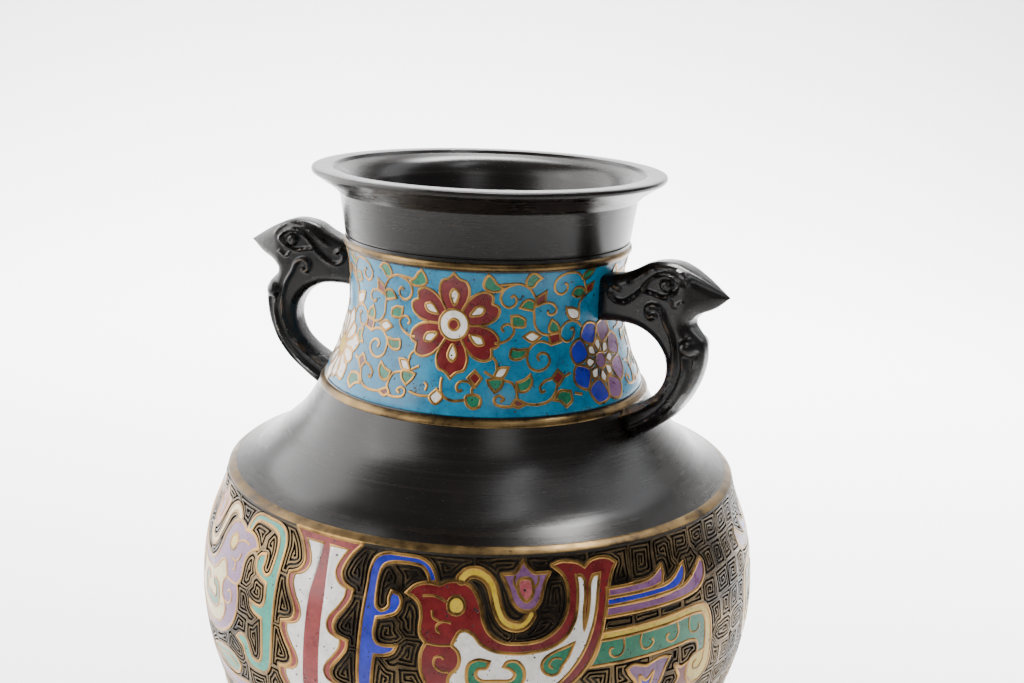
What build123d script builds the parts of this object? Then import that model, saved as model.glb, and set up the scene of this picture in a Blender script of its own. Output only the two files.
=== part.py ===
from build123d import *
import os
from math import cos, degrees, radians, sin

# A Japanese champleve bronze vase: turned and cast bronze sections, seated in each other with
# step joints, brass fillet rings over the seams, enamel set in cast pockets, and two cast
# bird-head handles.  Millimetres, +Z up, origin at the centre of the foot's resting face,
# a handle near +X and one near -X, the middle of the front decoration near -Y.

# ---- driving dimensions -------------------------------------------------------------------
HEIGHT = 305.0
WALL = 3.2                  # wall of the turned and cast sections
JOINT_WALL = 4.8            # the wall at a seam, thickened inwards for the step joint
ENAMEL_DEPTH = 0.8          # depth of the pockets and of the enamel in them
STEP = 3.0                  # height of each spigot that rises inside the section above
BEAD_SEAT = 1.0             # how deep a brass ring sits in the wall

LIP_RADIUS = 59.1
LIP_BAND = 7.0              # width of the flat band on top of the lip
FLARE_FOOT_Z = 297.0        # where the flare meets the collar
NECK_TOP_Z = 280.4          # middle of the brass ring above the neck enamel
NECK_FOOT_Z = 233.0         # middle of the brass ring below the neck enamel
SHOULDER_EDGE_Z = 204.2     # middle of the brass ring under the shoulder
BELLY_FOOT_Z = 129.8
LOWER_BAND_FOOT_Z = 104.0
FOOT_TOP_Z = 40.8
FOOT_BAND_FOOT_Z = 10.8
BASE_PLATE_Z = 5.0
BASE_PLATE_THICKNESS = 3.0
BASE_PLATE_RADIUS = 56.4
FOOT_INNER_RADIUS = 54.6    # the foot ring is thicker than the wall above it

HANDLE_THICKNESS = 13.0
HANDLE_ANGLE = 83           # degrees from -Y to each handle: both stand a little to the front
NECK_TENON_RADIUS = 3.0     # each handle has a tenon in the neck wall and one in the shoulder
NECK_TENON_X = 46.4
NECK_TENON_Z = 268.0
NECK_TENON_LENGTH = 5.4
SHOULDER_TENON_RADIUS = 2.0
SHOULDER_TENON_X = 60.0
SHOULDER_TENON_Z = 227.0
SHOULDER_TENON_LENGTH = 6.0
EYE_RADIUS = 2.6
EYE_X = 69.4
EYE_Z = 276.0
EYE_PROUD = 0.7             # how far the eye boss stands off each face of the handle

MAP_RADIUS = 92.0           # a step of 1 mm on the belly's drawing is 1 mm at this radius
NECK_MAP_RADIUS = 48.0
FRONT_ANGLE = -5.0          # degrees: the front column stands this far from the -Y line
FACES = (0, 180)            # two faces, each with a column and a bird on either side
BLOSSOM_ANGLE = 13.8        # degrees: first red blossom, measured from -Y towards +X
BLOSSOM_Z = 261.8

# the handle is drawn on the +X side, which is 90 degrees from -Y, and turned into its place
RIGHT_TURN = HANDLE_ANGLE - 90
LEFT_TURN = -HANDLE_ANGLE - 90

# ---- outer profile, (radius, height), between one brass ring and the next -------------------
FLARE = [(58.9, 303.2), (54.6, 300.4), (51.6, 298.2), (50.4, FLARE_FOOT_Z)]
COLLAR_TOP_RADIUS = 49.9
NECK = [(46.6, 273), (46.4, 266), (46.9, 257), (49.0, 249), (50.9, 243), (53.1, 238.4)]
SHOULDER = [(62.9, 221.0), (70.4, 213.9), (77.6, 208.2)]
BELLY = [
    (88.2, 199.5), (90.4, 193), (92.8, 187), (94.4, 181), (95.9, 170), (96.1, 160), (94.9, 150),
    (92.6, 140),
]
LOWER_BAND = [(84.9, 117)]
LOWER_BODY = [(70.4, 86), (61.6, 69), (54.6, 54)]
FOOT_BAND = [(49.4, 33), (52.2, 23.5), (56.2, 16.5)]
FOOT_RIM = [(62.6, 7.6), (62.6, 0)]

# Each seam: height, radius of the straight land under its brass ring, the wall's radius just
# above and just below the ring, how tall the ring is and how far it stands proud.
SEAMS = {
    "neck_top_bead": (NECK_TOP_Z, 47.6, 47.9, 47.9, 2.4, 0.7),
    "neck_bottom_bead": (NECK_FOOT_Z, 54.4, 54.6, 56.2, 2.4, 0.7),
    "shoulder_bead": (SHOULDER_EDGE_Z, 83.2, 84.6, 87.2, 1.6, 0.4),
    "belly_bottom_bead": (BELLY_FOOT_Z, 87.6, 89.6, 88.4, 3.4, 0.9),
    "lower_band_bead": (LOWER_BAND_FOOT_Z, 78.2, 79.8, 78.8, 3.0, 0.9),
    "foot_top_bead": (FOOT_TOP_Z, 49.2, 50.2, 49.6, 2.6, 0.9),
    "foot_rim_bead": (FOOT_BAND_FOOT_Z, 59.4, 59.8, 61.2, 2.6, 0.8),
}
FAR = 120.0                 # beyond the widest radius

# ---- outlines on the belly: (along the girth from the column, height) -----------------------
COLUMN_TOP_Z = 202.9
COLUMN_FOOT_Z = 132.6
COLUMN_CUSPS = (189.9, 175.2, 160.5, 145.8)
HOOK = [
    (15.3, 135), (15.3, 197), (18.0, 201.0), (22, 202.2), (33, 201.8), (36.2, 199.4), (37.6, 196.6),
    (35.4, 196.2), (32.6, 199.2), (22, 199.4), (19.6, 196.5), (19.6, 188.6), (21.2, 186.4),
    (23.4, 188.6), (24.2, 191.4), (26.9, 189), (26.0, 184.8), (22.2, 182.6), (20.2, 182),
    (20.2, 176.4), (26, 175.8), (22.0, 172.4), (20.2, 171.8), (20.2, 135),
]
BIRD = [
    (28.6, 191.4), (34, 193.8), (40.5, 194.8), (48.5, 192.8), (51.5, 185), (56, 178.8),
    (64, 177.2), (72, 181), (76.6, 189), (77.2, 194), (73.2, 200.6), (79.5, 201.2),
    (83, 198.6), (86.5, 201.2), (92.8, 199.2), (89.8, 193), (87.4, 180), (82, 168.6),
    (74, 164), (60, 160.8), (46, 161), (38.5, 162.8), (34.6, 170.5), (35, 177), (33.6, 183),
    (33.6, 187.6),
]
PLUME = [
    (43.6, 196.2), (45, 198.6), (49.5, 199.3), (54.3, 197.2), (56.2, 191), (58.6, 186),
    (62.6, 185.4), (64.6, 188), (67.2, 187), (65.4, 183.2), (60, 181.8), (55.6, 184.8),
    (53.8, 191), (52, 195.6), (48.6, 197), (46.2, 195.7),
]
TULIP = [
    (57.4, 198), (61.4, 198.2), (63.8, 202), (66.6, 198.4), (70.6, 197.9), (68.4, 190.6),
    (65, 187.6), (61, 189.6),
]
FEATHERS = [
    (90.6, 190.6), (104, 190.6), (110.6, 193.2), (112, 190.4), (121.2, 192.8), (122.4, 188.6),
    (130, 190.6), (127, 186), (121, 184.2), (89.6, 184.2),
]
SCROLL_BAR = [
    (86.6, 179.4), (125.5, 179.4), (131.2, 175.4), (131.6, 158), (127, 154), (120.2, 155.4),
    (119.4, 162), (123.4, 164.6), (123.4, 168), (121.4, 169.8), (83.4, 170.2),
]
LEAF = [(95, 166.8), (102.2, 166.2), (111, 166.8), (108, 160), (103, 156), (99, 159)]

# ---- handle outline, (distance from the axis, height): a bird's head whose wattle curls down -
HANDLE_HEAD_TOP = [
    (45, 275.4), (52, 276.5), (57.8, 278.9), (62.5, 281.5), (67.5, 282.5), (72, 282.3),
    (78, 279.9), (84.4, 276.4), (89.1, 273.4),
]
HANDLE_BEAK_UNDER = [(89.1, 273.4), (84.6, 269.6), (79.6, 267.0), (77.4, 264.8)]
HANDLE_BACK = [
    (77.6, 263.0), (81.6, 258.6), (82.5, 254.4), (82.0, 249.6), (80.6, 245.2), (77.4, 238.9),
    (72.4, 232.4), (67.0, 228.0), (61.2, 223.9), (56.0, 220.6),
]
HANDLE_LOOP = [
    (53, 231.4), (58.2, 233.7), (63.6, 236.8), (68.2, 241.2), (70.3, 246.8), (69.6, 252.4),
    (66.0, 257.2), (60.2, 260.3), (53, 261.0), (45, 260.2),
]


def polar(radius, angle):
    """A point on a circle about the axis; angle 0 is the -Y side and 90 is +X."""
    a = radians(angle)
    return (radius * sin(a), -radius * cos(a))


def smooth_line(points):
    """A smooth curve through profile points."""
    return Spline(*[(x, 0, z) for x, z in points])


def straight_lines(points):
    places = [(x, 0, z) for x, z in points]
    return [Line(a, b) for a, b in zip(places, places[1:])]


def face_of(edges):
    return make_face(Wire(edges))


def polygon(points):
    return make_face(Polyline(*[(x, 0, z) for x, z in points], close=True))


def slab(low, high):
    """All radii between two heights."""
    return polygon([(0, low), (FAR, low), (FAR, high), (0, high)])


def turned(face):
    return revolve(face, Axis.Z, 360)


def bead_face(name):
    """A brass ring's section: a flat seat in the wall and a rounded outside."""
    z, land, above, below, tall, proud = SEAMS[name]
    back, low, high = land - BEAD_SEAT, z - tall / 2, z + tall / 2
    bulge = ((above + below) / 2 + proud, 0, z)
    edges = straight_lines([(below, low), (back, low), (back, high), (above, high)])
    edges.append(ThreePointArc((above, 0, high), bulge, (below, 0, low)))
    return face_of(edges)


def outer_points(points, top, bottom):
    """The visible profile of a section, from under its upper ring to above its lower one."""
    top_z, _, _, top_radius, top_tall, _ = SEAMS[top]
    low_z, _, low_radius, _, low_tall, _ = SEAMS[bottom]
    return [(top_radius, top_z - top_tall / 2), *points, (low_radius, low_z + low_tall / 2)]


def inner_points(points, top, bottom):
    """The inside of a section: a wall's thickness in, and thicker at its two seams."""
    first = (SEAMS[top][1] - JOINT_WALL, SEAMS[top][0])
    last = (SEAMS[bottom][1] - JOINT_WALL, SEAMS[bottom][0])
    return [first, *[(x - WALL, z) for x, z in points], last]


def inside_middle(inner, seam):
    """Everything nearer the axis than the middle of the wall, for one step above a seam."""
    z = SEAMS[seam][0]
    middle = [(x + WALL / 2, height) for x, height in inner]
    (top_radius, top_z), (low_radius, low_z) = middle[0], middle[-1]
    edges = [smooth_line(middle)] + straight_lines(
        [(low_radius, low_z), (low_radius, z - 1), (0, z - 1), (0, top_z), (top_radius, top_z)]
    )
    return face_of(edges) & slab(z - 1, z + STEP)


def wall_face(points, top, bottom):
    """A section's full wall, before its joints are cut."""
    outer, inner = outer_points(points, top, bottom), inner_points(points, top, bottom)
    top_land, low_land = SEAMS[top][1], SEAMS[bottom][1]
    edges = [smooth_line(outer), smooth_line(inner)]
    edges += straight_lines([inner[0], (top_land, inner[0][1]), (top_land, outer[0][1]), outer[0]])
    edges += straight_lines([outer[-1], (low_land, outer[-1][1]), (low_land, inner[-1][1]), inner[-1]])
    return face_of(edges)


def spigot(points, top, bottom):
    """The ring that the section below sends up into this section's rebate."""
    rebate = inside_middle(inner_points(points, top, bottom), bottom)
    return turned((wall_face(points, top, bottom) & rebate).face())


def section(points, top, bottom):
    """A turned section with a rebate at its foot and a seat for each ring it carries."""
    rebate = inside_middle(inner_points(points, top, bottom), bottom)
    wall = wall_face(points, top, bottom) - rebate - bead_face(top) - bead_face(bottom)
    return turned(wall.face())


def outside_pocket_floor(points, top, bottom, low, high):
    """Everything further out than the floor of the enamel pockets, between two heights."""
    floor = [(x - ENAMEL_DEPTH, z) for x, z in outer_points(points, top, bottom)]
    (top_radius, top_z), (low_radius, low_z) = floor[0], floor[-1]
    edges = [smooth_line(floor)] + straight_lines(
        [(low_radius, low_z), (FAR, low_z), (FAR, top_z), (top_radius, top_z)]
    )
    return face_of(edges) & slab(low, high)


def prism(points, angle, map_radius):
    """A prism that points out from the axis: an outline drawn on the plane touching the wall."""
    x_dir = polar(1, angle + 90)
    normal = polar(1, angle)
    plane = Plane(origin=(0, 0, 0), x_dir=(x_dir[0], x_dir[1], 0), z_dir=(normal[0], normal[1], 0))
    middle = sum(s for s, z in points) / len(points)
    turned_points = [(map_radius * sin((s - middle) / map_radius), z) for s, z in points]
    outline = plane * make_face(Polyline(*turned_points, close=True))
    return extrude(outline, FAR, dir=Vector(*normal, 0))


def field_tool(points, face_angle, map_radius=MAP_RADIUS):
    """The prism for one field, turned to where the middle of its outline lies."""
    middle = sum(s for s, z in points) / len(points)
    return prism(points, face_angle + degrees(middle / map_radius), map_radius)


def mirrored(points):
    return [(-s, z) for s, z in points]


def column_points():
    """The scalloped column: a flared head, cusps at a steady step, and a flared foot."""
    side = [(12.8, COLUMN_TOP_Z), (9.4, 199.6), (7.2, 195.6), (7.6, 192.0)]
    for cusp in COLUMN_CUSPS:
        side += [(12.2, cusp), (10.4, cusp - 3.6), (7.4, cusp - 7.4), (6.8, cusp - 10.2)]
    side[-1] = (12.8, COLUMN_FOOT_Z)
    return side + mirrored(side)[::-1]


def blossom_points():
    """Six petals, each with a notched end, round a centre."""
    points = []
    for petal in range(6):
        turn = 90 + 60 * petal
        for offset, reach in ((-30, 8.0), (-18, 13.6), (-6, 14.6), (0, 15.6), (6, 14.6), (18, 13.6)):
            a = radians(turn + offset)
            points.append((reach * cos(a), BLOSSOM_Z + reach * sin(a)))
    return points


def tools_for(outlines, face_angles, map_radius=MAP_RADIUS):
    return [field_tool(points, angle, map_radius) for angle in face_angles for points in outlines]


def inlay(layer, tools):
    """The enamel bodies that some outlines cut from a layer."""
    bodies = []
    for tool in tools:
        bodies += (layer & tool).solids()
    return bodies


def mouth():
    """The turned mouth: a flat-topped lip, a hollow flare and a plain collar."""
    z, land, above, _, tall, _ = SEAMS["neck_top_bead"]
    inner_lip, throat = LIP_RADIUS - LIP_BAND, land - JOINT_WALL
    lip_round = [(LIP_RADIUS - 1.2, HEIGHT), (LIP_RADIUS, HEIGHT - 0.9), FLARE[0]]
    edges = straight_lines([(inner_lip, HEIGHT), lip_round[0]])
    edges.append(ThreePointArc(*[(x, 0, height) for x, height in lip_round]))
    edges.append(smooth_line(FLARE))
    edges += straight_lines(
        [
            FLARE[-1], (COLLAR_TOP_RADIUS, FLARE_FOOT_Z), (above, z + tall / 2),
            (land, z + tall / 2), (land, z), (throat, z), (throat, z + 8), (throat + 2, FLARE_FOOT_Z),
        ]
    )
    edges.append(smooth_line([(throat + 2, FLARE_FOOT_Z), (47.4, 301.4), (inner_lip, HEIGHT)]))
    middle = [(0, z - 1), (throat + WALL / 2, z - 1), (throat + WALL / 2, z + STEP), (0, z + STEP)]
    wall = face_of(edges) - polygon(middle) - bead_face("neck_top_bead")
    return turned(wall.face())


def mouth_spigot():
    """The ring that the neck sends up into the mouth."""
    z, land = SEAMS["neck_top_bead"][:2]
    throat, outside = land - JOINT_WALL, land - JOINT_WALL + WALL / 2
    return turned(polygon([(throat, z), (outside, z), (outside, z + STEP), (throat, z + STEP)]))


def foot_rim():
    """The heavy foot ring that the vase stands on, with a ledge for the base plate."""
    z, land, _, below, tall, _ = SEAMS["foot_rim_bead"]
    corners = [
        (FOOT_INNER_RADIUS, z), (land, z), (land, z - tall / 2), (below, z - tall / 2),
        *FOOT_RIM, (FOOT_INNER_RADIUS, 0),
    ]
    plate_top = BASE_PLATE_Z + BASE_PLATE_THICKNESS
    ledge = BASE_PLATE_RADIUS
    groove = polygon([(0, BASE_PLATE_Z), (ledge, BASE_PLATE_Z), (ledge, plate_top), (0, plate_top)])
    return turned((polygon(corners) - groove - bead_face("foot_rim_bead")).face())


def base_plate():
    middle = BASE_PLATE_Z + BASE_PLATE_THICKNESS / 2
    return Pos(0, 0, middle) * Cylinder(BASE_PLATE_RADIUS, BASE_PLATE_THICKNESS)


def vase_core():
    """The solid that the handles are trimmed to: the neck under its enamel, and the shoulder."""
    neck = outer_points(NECK, "neck_top_bead", "neck_bottom_bead")
    neck = [(x - ENAMEL_DEPTH, z) for x, z in neck]
    shoulder = outer_points(SHOULDER, "neck_bottom_bead", "shoulder_bead")
    edges = [smooth_line(neck), smooth_line(shoulder)]
    edges += straight_lines([neck[-1], (neck[-1][0], shoulder[0][1]), shoulder[0]])
    edges += straight_lines([shoulder[-1], (0, shoulder[-1][1]), (0, neck[0][1]), neck[0]])
    return turned(face_of(edges))


def handle_plate():
    """The bird-head outline as a thick plate on the +X side, with an eye boss on each face."""
    runs = (HANDLE_HEAD_TOP, HANDLE_BEAK_UNDER, HANDLE_BACK, HANDLE_LOOP)
    edges = [smooth_line(run) for run in runs]
    for run, following in zip(runs, (*runs[1:], runs[0])):
        if run[-1] != following[0]:
            edges += straight_lines([run[-1], following[0]])
    plate = extrude(face_of(edges), HANDLE_THICKNESS / 2, dir=Vector(0, 1, 0), both=True)
    boss = Cylinder(EYE_RADIUS, HANDLE_THICKNESS + 2 * EYE_PROUD)
    return plate + Pos(EYE_X, 0, EYE_Z) * Rot(90, 0, 0) * boss


def handle_tenons():
    """Two round tenons that go from the handle into the neck and shoulder walls."""
    neck = Rot(0, 90, 0) * Cylinder(NECK_TENON_RADIUS, NECK_TENON_LENGTH)
    shoulder = Cylinder(SHOULDER_TENON_RADIUS, SHOULDER_TENON_LENGTH)
    return (
        Pos(NECK_TENON_X, 0, NECK_TENON_Z) * neck,
        Pos(SHOULDER_TENON_X, 0, SHOULDER_TENON_Z) * shoulder,
    )


def write(name, bodies):
    """One STEP file per node; a node of several bodies keeps them as separate solids."""
    found = bodies if isinstance(bodies, list) else bodies.solids()
    shape = found[0] if len(found) == 1 else Compound(children=found)
    shape.label = name
    export_step(shape, f"parts/{name}.step")
    print(name, len(found), "solids")


os.makedirs("parts", exist_ok=True)

# the turned sections, each with the spigot that it sends up into the next one
neck_seams = ("neck_top_bead", "neck_bottom_bead")
shoulder_seams = ("neck_bottom_bead", "shoulder_bead")
belly_seams = ("shoulder_bead", "belly_bottom_bead")
lower_seams = ("belly_bottom_bead", "lower_band_bead")
body_seams = ("lower_band_bead", "foot_top_bead")
foot_seams = ("foot_top_bead", "foot_rim_bead")
neck_wall = section(NECK, *neck_seams) + mouth_spigot()
shoulder_wall = section(SHOULDER, *shoulder_seams) + spigot(NECK, *neck_seams)
belly_wall = section(BELLY, *belly_seams) + spigot(SHOULDER, *shoulder_seams)
lower_wall = section(LOWER_BAND, *lower_seams) + spigot(BELLY, *belly_seams)
body_wall = section(LOWER_BODY, *body_seams) + spigot(LOWER_BAND, *lower_seams)
foot_wall = section(FOOT_BAND, *foot_seams) + spigot(LOWER_BODY, *body_seams)
rim_wall = foot_rim() + spigot(FOOT_BAND, *foot_seams)

# the enamel layers: full rings on the neck, the lower band and the foot
rings = {
    "neck": (NECK, neck_seams, NECK_FOOT_Z + 1.7, NECK_TOP_Z - 1.7),
    "lower": (LOWER_BAND, lower_seams, LOWER_BAND_FOOT_Z + 2.6, BELLY_FOOT_Z - 2.8),
    "foot": (FOOT_BAND, foot_seams, FOOT_BAND_FOOT_Z + 2.2, FOOT_TOP_Z - 2.2),
    "belly": (BELLY, belly_seams, BELLY_FOOT_Z + 2.4, SHOULDER_EDGE_Z - 1.2),
}
pockets = {}
layers = {}
for name, (points, seams, low, high) in rings.items():
    outside = outside_pocket_floor(points, *seams, low, high)
    pockets[name] = turned(outside.face())
    layers[name] = turned((wall_face(points, *seams) & outside).face())
neck_wall = neck_wall - pockets["neck"]
lower_wall = lower_wall - pockets["lower"]
foot_wall = foot_wall - pockets["foot"]

# the handles
core = vase_core()
untrimmed = handle_plate()
neck_tenon, shoulder_tenon = handle_tenons()
trimmed = untrimmed - core - turned(bead_face("neck_bottom_bead"))
handle = trimmed + neck_tenon + shoulder_tenon
neck_skin = layers["neck"]
for turn in (RIGHT_TURN, LEFT_TURN):
    neck_wall = neck_wall - Rot(0, 0, turn) * neck_tenon
    neck_skin = neck_skin - Rot(0, 0, turn) * untrimmed
    shoulder_wall = shoulder_wall - Rot(0, 0, turn) * shoulder_tenon

# the neck's blossoms, six round the neck in three colours
blossoms = {}
for index, colour in enumerate(("red", "blue", "white")):
    angles = [BLOSSOM_ANGLE + 60 * index + turn for turn in FACES]
    tools = tools_for([blossom_points()], angles, NECK_MAP_RADIUS)
    blossoms[colour] = inlay(neck_skin, tools)
    for tool in tools:
        neck_skin = neck_skin - tool

# the belly's fields
both_sides = (FRONT_ANGLE, FRONT_ANGLE + 180)
belly_fields = {
    "column_enamel": [column_points()],
    "hook_enamel_blue": [HOOK],
    "hook_enamel_teal": [mirrored(HOOK)],
    "bird_enamel_red": [BIRD],
    "bird_enamel_mauve": [mirrored(BIRD)],
    "plume_enamel_yellow": [PLUME],
    "plume_enamel_ivory": [mirrored(PLUME)],
    "tulip_enamel": [TULIP, mirrored(TULIP)],
    "feather_enamel": [FEATHERS, mirrored(FEATHERS)],
    "scroll_bar_enamel": [SCROLL_BAR, mirrored(SCROLL_BAR)],
    "leaf_enamel": [LEAF, mirrored(LEAF)],
}
for name, outlines in belly_fields.items():
    tools = tools_for(outlines, both_sides)
    write(name, inlay(layers["belly"], tools))
    for tool in tools:
        belly_wall = belly_wall - (pockets["belly"] & tool)

write("mouth_ring", mouth())
write("neck_sleeve", neck_wall)
write("neck_enamel_ground", neck_skin)
for colour, bodies in blossoms.items():
    write(f"neck_blossoms_{colour}", bodies)
write("shoulder_cone", shoulder_wall)
write("belly_band", belly_wall)
write("lower_band", lower_wall)
write("lower_band_enamel", layers["lower"])
write("lower_body", body_wall)
write("foot_band", foot_wall)
write("foot_enamel", layers["foot"])
write("foot_rim", rim_wall)
write("base_plate", base_plate())
write("handle_right", Rot(0, 0, RIGHT_TURN) * handle)
write("handle_left", Rot(0, 0, LEFT_TURN) * handle)
for name in SEAMS:
    write(name, turned(bead_face(name)))
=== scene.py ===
"""Looks of a Japanese champleve bronze vase: turned bronze, cast cells, enamel and bird-head handles."""
import math

import bpy
import numpy as np
from mathutils import Matrix, Vector, geometry


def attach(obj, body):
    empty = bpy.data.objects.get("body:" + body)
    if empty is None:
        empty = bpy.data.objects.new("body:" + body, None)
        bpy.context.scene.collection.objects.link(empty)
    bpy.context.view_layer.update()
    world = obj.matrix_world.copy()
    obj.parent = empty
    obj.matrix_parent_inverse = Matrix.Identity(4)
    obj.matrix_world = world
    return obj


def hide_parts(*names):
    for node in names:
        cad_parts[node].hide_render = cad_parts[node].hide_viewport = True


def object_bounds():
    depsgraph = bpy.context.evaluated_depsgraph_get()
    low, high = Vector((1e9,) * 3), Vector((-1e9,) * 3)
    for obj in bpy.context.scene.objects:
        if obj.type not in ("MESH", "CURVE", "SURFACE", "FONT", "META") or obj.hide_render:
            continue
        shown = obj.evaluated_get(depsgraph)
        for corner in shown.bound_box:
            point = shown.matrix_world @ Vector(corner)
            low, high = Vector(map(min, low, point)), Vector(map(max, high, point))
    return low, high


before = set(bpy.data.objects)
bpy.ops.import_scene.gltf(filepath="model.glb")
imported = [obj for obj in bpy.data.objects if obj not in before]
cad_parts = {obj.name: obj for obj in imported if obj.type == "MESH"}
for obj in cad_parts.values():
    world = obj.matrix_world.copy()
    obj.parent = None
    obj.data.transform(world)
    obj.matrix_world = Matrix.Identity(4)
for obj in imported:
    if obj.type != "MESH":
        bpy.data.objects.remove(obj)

cad_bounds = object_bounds()

# ---- sizes, in millimetres ------------------------------------------------------------------
MM = 0.001
HEIGHT = round((cad_bounds[1].z - cad_bounds[0].z) / MM, 1)
WALL = 3.2
JOINT_WALL = 4.8
LIP_RADIUS = 59.1
LIP_BAND = 7.0
FLARE_FOOT_Z = 297.0
MAP_RADIUS = 92.0           # 1 mm along the belly's drawing is 1 mm at this radius
NECK_MAP_RADIUS = 48.0
FRONT_ANGLE = -5.0          # where the front column stands, in degrees from -Y
BLOSSOM_ANGLE = 13.8
HANDLE_ANGLE = 83.0
VIEW_ANGLE = 26.0           # the camera stands this far round from -Y towards +X

FLARE = [(58.9, 303.2), (54.6, 300.4), (51.6, 298.2), (50.4, FLARE_FOOT_Z)]
COLLAR_TOP_RADIUS = 49.9
NECK = [(46.6, 273), (46.4, 266), (46.9, 257), (49.0, 249), (50.9, 243), (53.1, 238.4)]
SHOULDER = [(62.9, 221.0), (70.4, 213.9), (77.6, 208.2)]
BELLY = [
    (88.2, 199.5), (90.4, 193), (92.8, 187), (94.4, 181), (95.9, 170), (96.1, 160), (94.9, 150),
    (92.6, 140),
]
LOWER_BAND = [(84.9, 117)]
LOWER_BODY = [(70.4, 86), (61.6, 69), (54.6, 54)]
FOOT_BAND = [(49.4, 33), (52.2, 23.5), (56.2, 16.5)]

# each brass ring: height, land radius, wall radius above and below, how tall, how proud
SEAMS = {
    "neck_top_bead": (280.4, 47.6, 47.9, 47.9, 2.4, 0.7),
    "neck_bottom_bead": (233.0, 54.4, 54.6, 56.2, 2.4, 0.7),
    "shoulder_bead": (204.2, 83.2, 84.6, 87.2, 1.6, 0.4),
    "belly_bottom_bead": (129.8, 87.6, 89.6, 88.4, 3.4, 0.9),
    "lower_band_bead": (104.0, 78.2, 79.8, 78.8, 3.0, 0.9),
    "foot_top_bead": (40.8, 49.2, 50.2, 49.6, 2.6, 0.9),
    "foot_rim_bead": (10.8, 59.4, 59.8, 61.2, 2.6, 0.8),
}
FOOT_RIM = [(62.6, 7.6), (62.6, 0)]
# the heights between which each band is sunk for its enamel
NECK_BAND = (234.7, 278.7)
BELLY_BAND = (132.2, 202.7)
LOWER_BAND_RANGE = (106.6, 127.0)
FOOT_BAND_RANGE = (13.0, 38.6)
FOOT_INNER_RADIUS = 54.6
BASE_PLATE_RADIUS = 56.4
BASE_PLATE_Z = 5.0
BASE_PLATE_THICKNESS = 3.0

# heights above the finished surface
WALL_TOP = 0.05
FRET_TOP = -0.02
ENAMEL_TOP = -0.10
ENAMEL_STEP = 0.025         # each nested field sits this much above the one round it
GROUND_TOP = -0.20           # the turquoise ground, under the fields that are set in it
INLAY_SPACING = 1.2
POCKET_FLOOR = -0.75
CELL_WALL = 1.05            # width of the cast cell walls
FINE_WALL = 0.7
FRET_PITCH = 1.22
FRET_LINE = 0.52


# ---- curves ---------------------------------------------------------------------------------
def hermite_run(points, closed, step):
    """A smooth curve through points (a Catmull-Rom curve with root-chord spacing)."""
    p = np.array(points, float)
    if closed:
        ext = np.vstack([p[-1], p, p[0], p[1]])
    else:
        ext = np.vstack([2 * p[0] - p[1], p, 2 * p[-1] - p[-2]])
    parts = []
    for i in range(1, len(ext) - 2):
        a, b, c, d = ext[i - 1], ext[i], ext[i + 1], ext[i + 2]
        ab, bc, cd = (max(np.linalg.norm(v), 1e-9) ** 0.5 for v in (b - a, c - b, d - c))
        m1 = ((b - a) / ab - (c - a) / (ab + bc) + (c - b) / bc) * bc
        m2 = ((c - b) / bc - (d - b) / (bc + cd) + (d - c) / cd) * bc
        count = max(1, int(round(np.linalg.norm(c - b) / step)))
        t = (np.arange(count) / count)[:, None]
        parts.append(
            (2 * t**3 - 3 * t**2 + 1) * b + (t**3 - 2 * t**2 + t) * m1
            + (3 * t**2 - 2 * t**3) * c + (t**3 - t**2) * m2
        )
    if not closed:
        parts.append(p[-1:])
    return np.vstack(parts)


def curve(points, closed=True, step=0.45):
    """A smooth outline; a point with a third item is a sharp corner."""
    places = [p[:2] for p in points]
    corners = [i for i, p in enumerate(points) if len(p) > 2]
    if not closed:
        corners = sorted({0, len(points) - 1, *corners})
    if not corners:
        return hermite_run(places, True, step)
    pairs = list(zip(corners, corners[1:]))
    if closed:
        places = places + places[: corners[0] + 1]
        pairs.append((corners[-1], len(points) + corners[0]))
    parts = []
    for a, b in pairs:
        run = hermite_run(places[a : b + 1], False, step)
        parts.append(run[:-1] if closed or b != pairs[-1][1] else run)
    return np.vstack(parts)


def spline_profile(points, step=0.25):
    """Dense (radius, height) samples of the natural cubic spline through profile points."""
    p = np.array(points, float)
    t = np.concatenate([[0], np.cumsum(np.linalg.norm(np.diff(p, axis=0), axis=1))])
    n = len(p)
    if n == 2:
        count = max(2, int(t[-1] / step))
        f = np.linspace(0, 1, count)[:, None]
        return p[0] + (p[1] - p[0]) * f
    h = np.diff(t)
    a = np.eye(n)
    b = np.zeros((n, 2))
    for i in range(1, n - 1):
        a[i, i - 1 : i + 2] = (h[i - 1], 2 * (h[i - 1] + h[i]), h[i])
        b[i] = 6 * ((p[i + 1] - p[i]) / h[i] - (p[i] - p[i - 1]) / h[i - 1])
    m = np.linalg.solve(a, b)
    out = []
    for i in range(n - 1):
        count = max(2, int(h[i] / step))
        u = np.linspace(0, h[i], count, endpoint=(i == n - 2))[:, None]
        v = h[i] - u
        out.append(
            (m[i] * v**3 + m[i + 1] * u**3) / (6 * h[i])
            + (p[i] / h[i] - m[i] * h[i] / 6) * v + (p[i + 1] / h[i] - m[i + 1] * h[i] / 6) * u
        )
    return np.vstack(out)


def stroke(points, width, taper=1.0, step=0.4):
    """The closed outline of a brush stroke: a centre line with a width and rounded ends."""
    line = curve(points, closed=False, step=step)
    t = np.gradient(line, axis=0)
    t /= np.linalg.norm(t, axis=1)[:, None]
    n = np.stack([-t[:, 1], t[:, 0]], 1)
    f = np.linspace(0, 1, len(line))
    half = (width / 2 * (1 + (taper - 1) * f))[:, None]
    ends = []
    for at, tangent, radius in ((line[-1], t[-1], half[-1, 0]), (line[0], -t[0], half[0, 0])):
        side = np.array([-tangent[1], tangent[0]])
        angles = np.linspace(math.pi / 2, -math.pi / 2, 9)[1:-1]
        ends.append([at + radius * (side * math.sin(a) + tangent * math.cos(a)) for a in angles])
    return np.vstack([line + n * half, ends[0], (line - n * half)[::-1], ends[1]])


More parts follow.
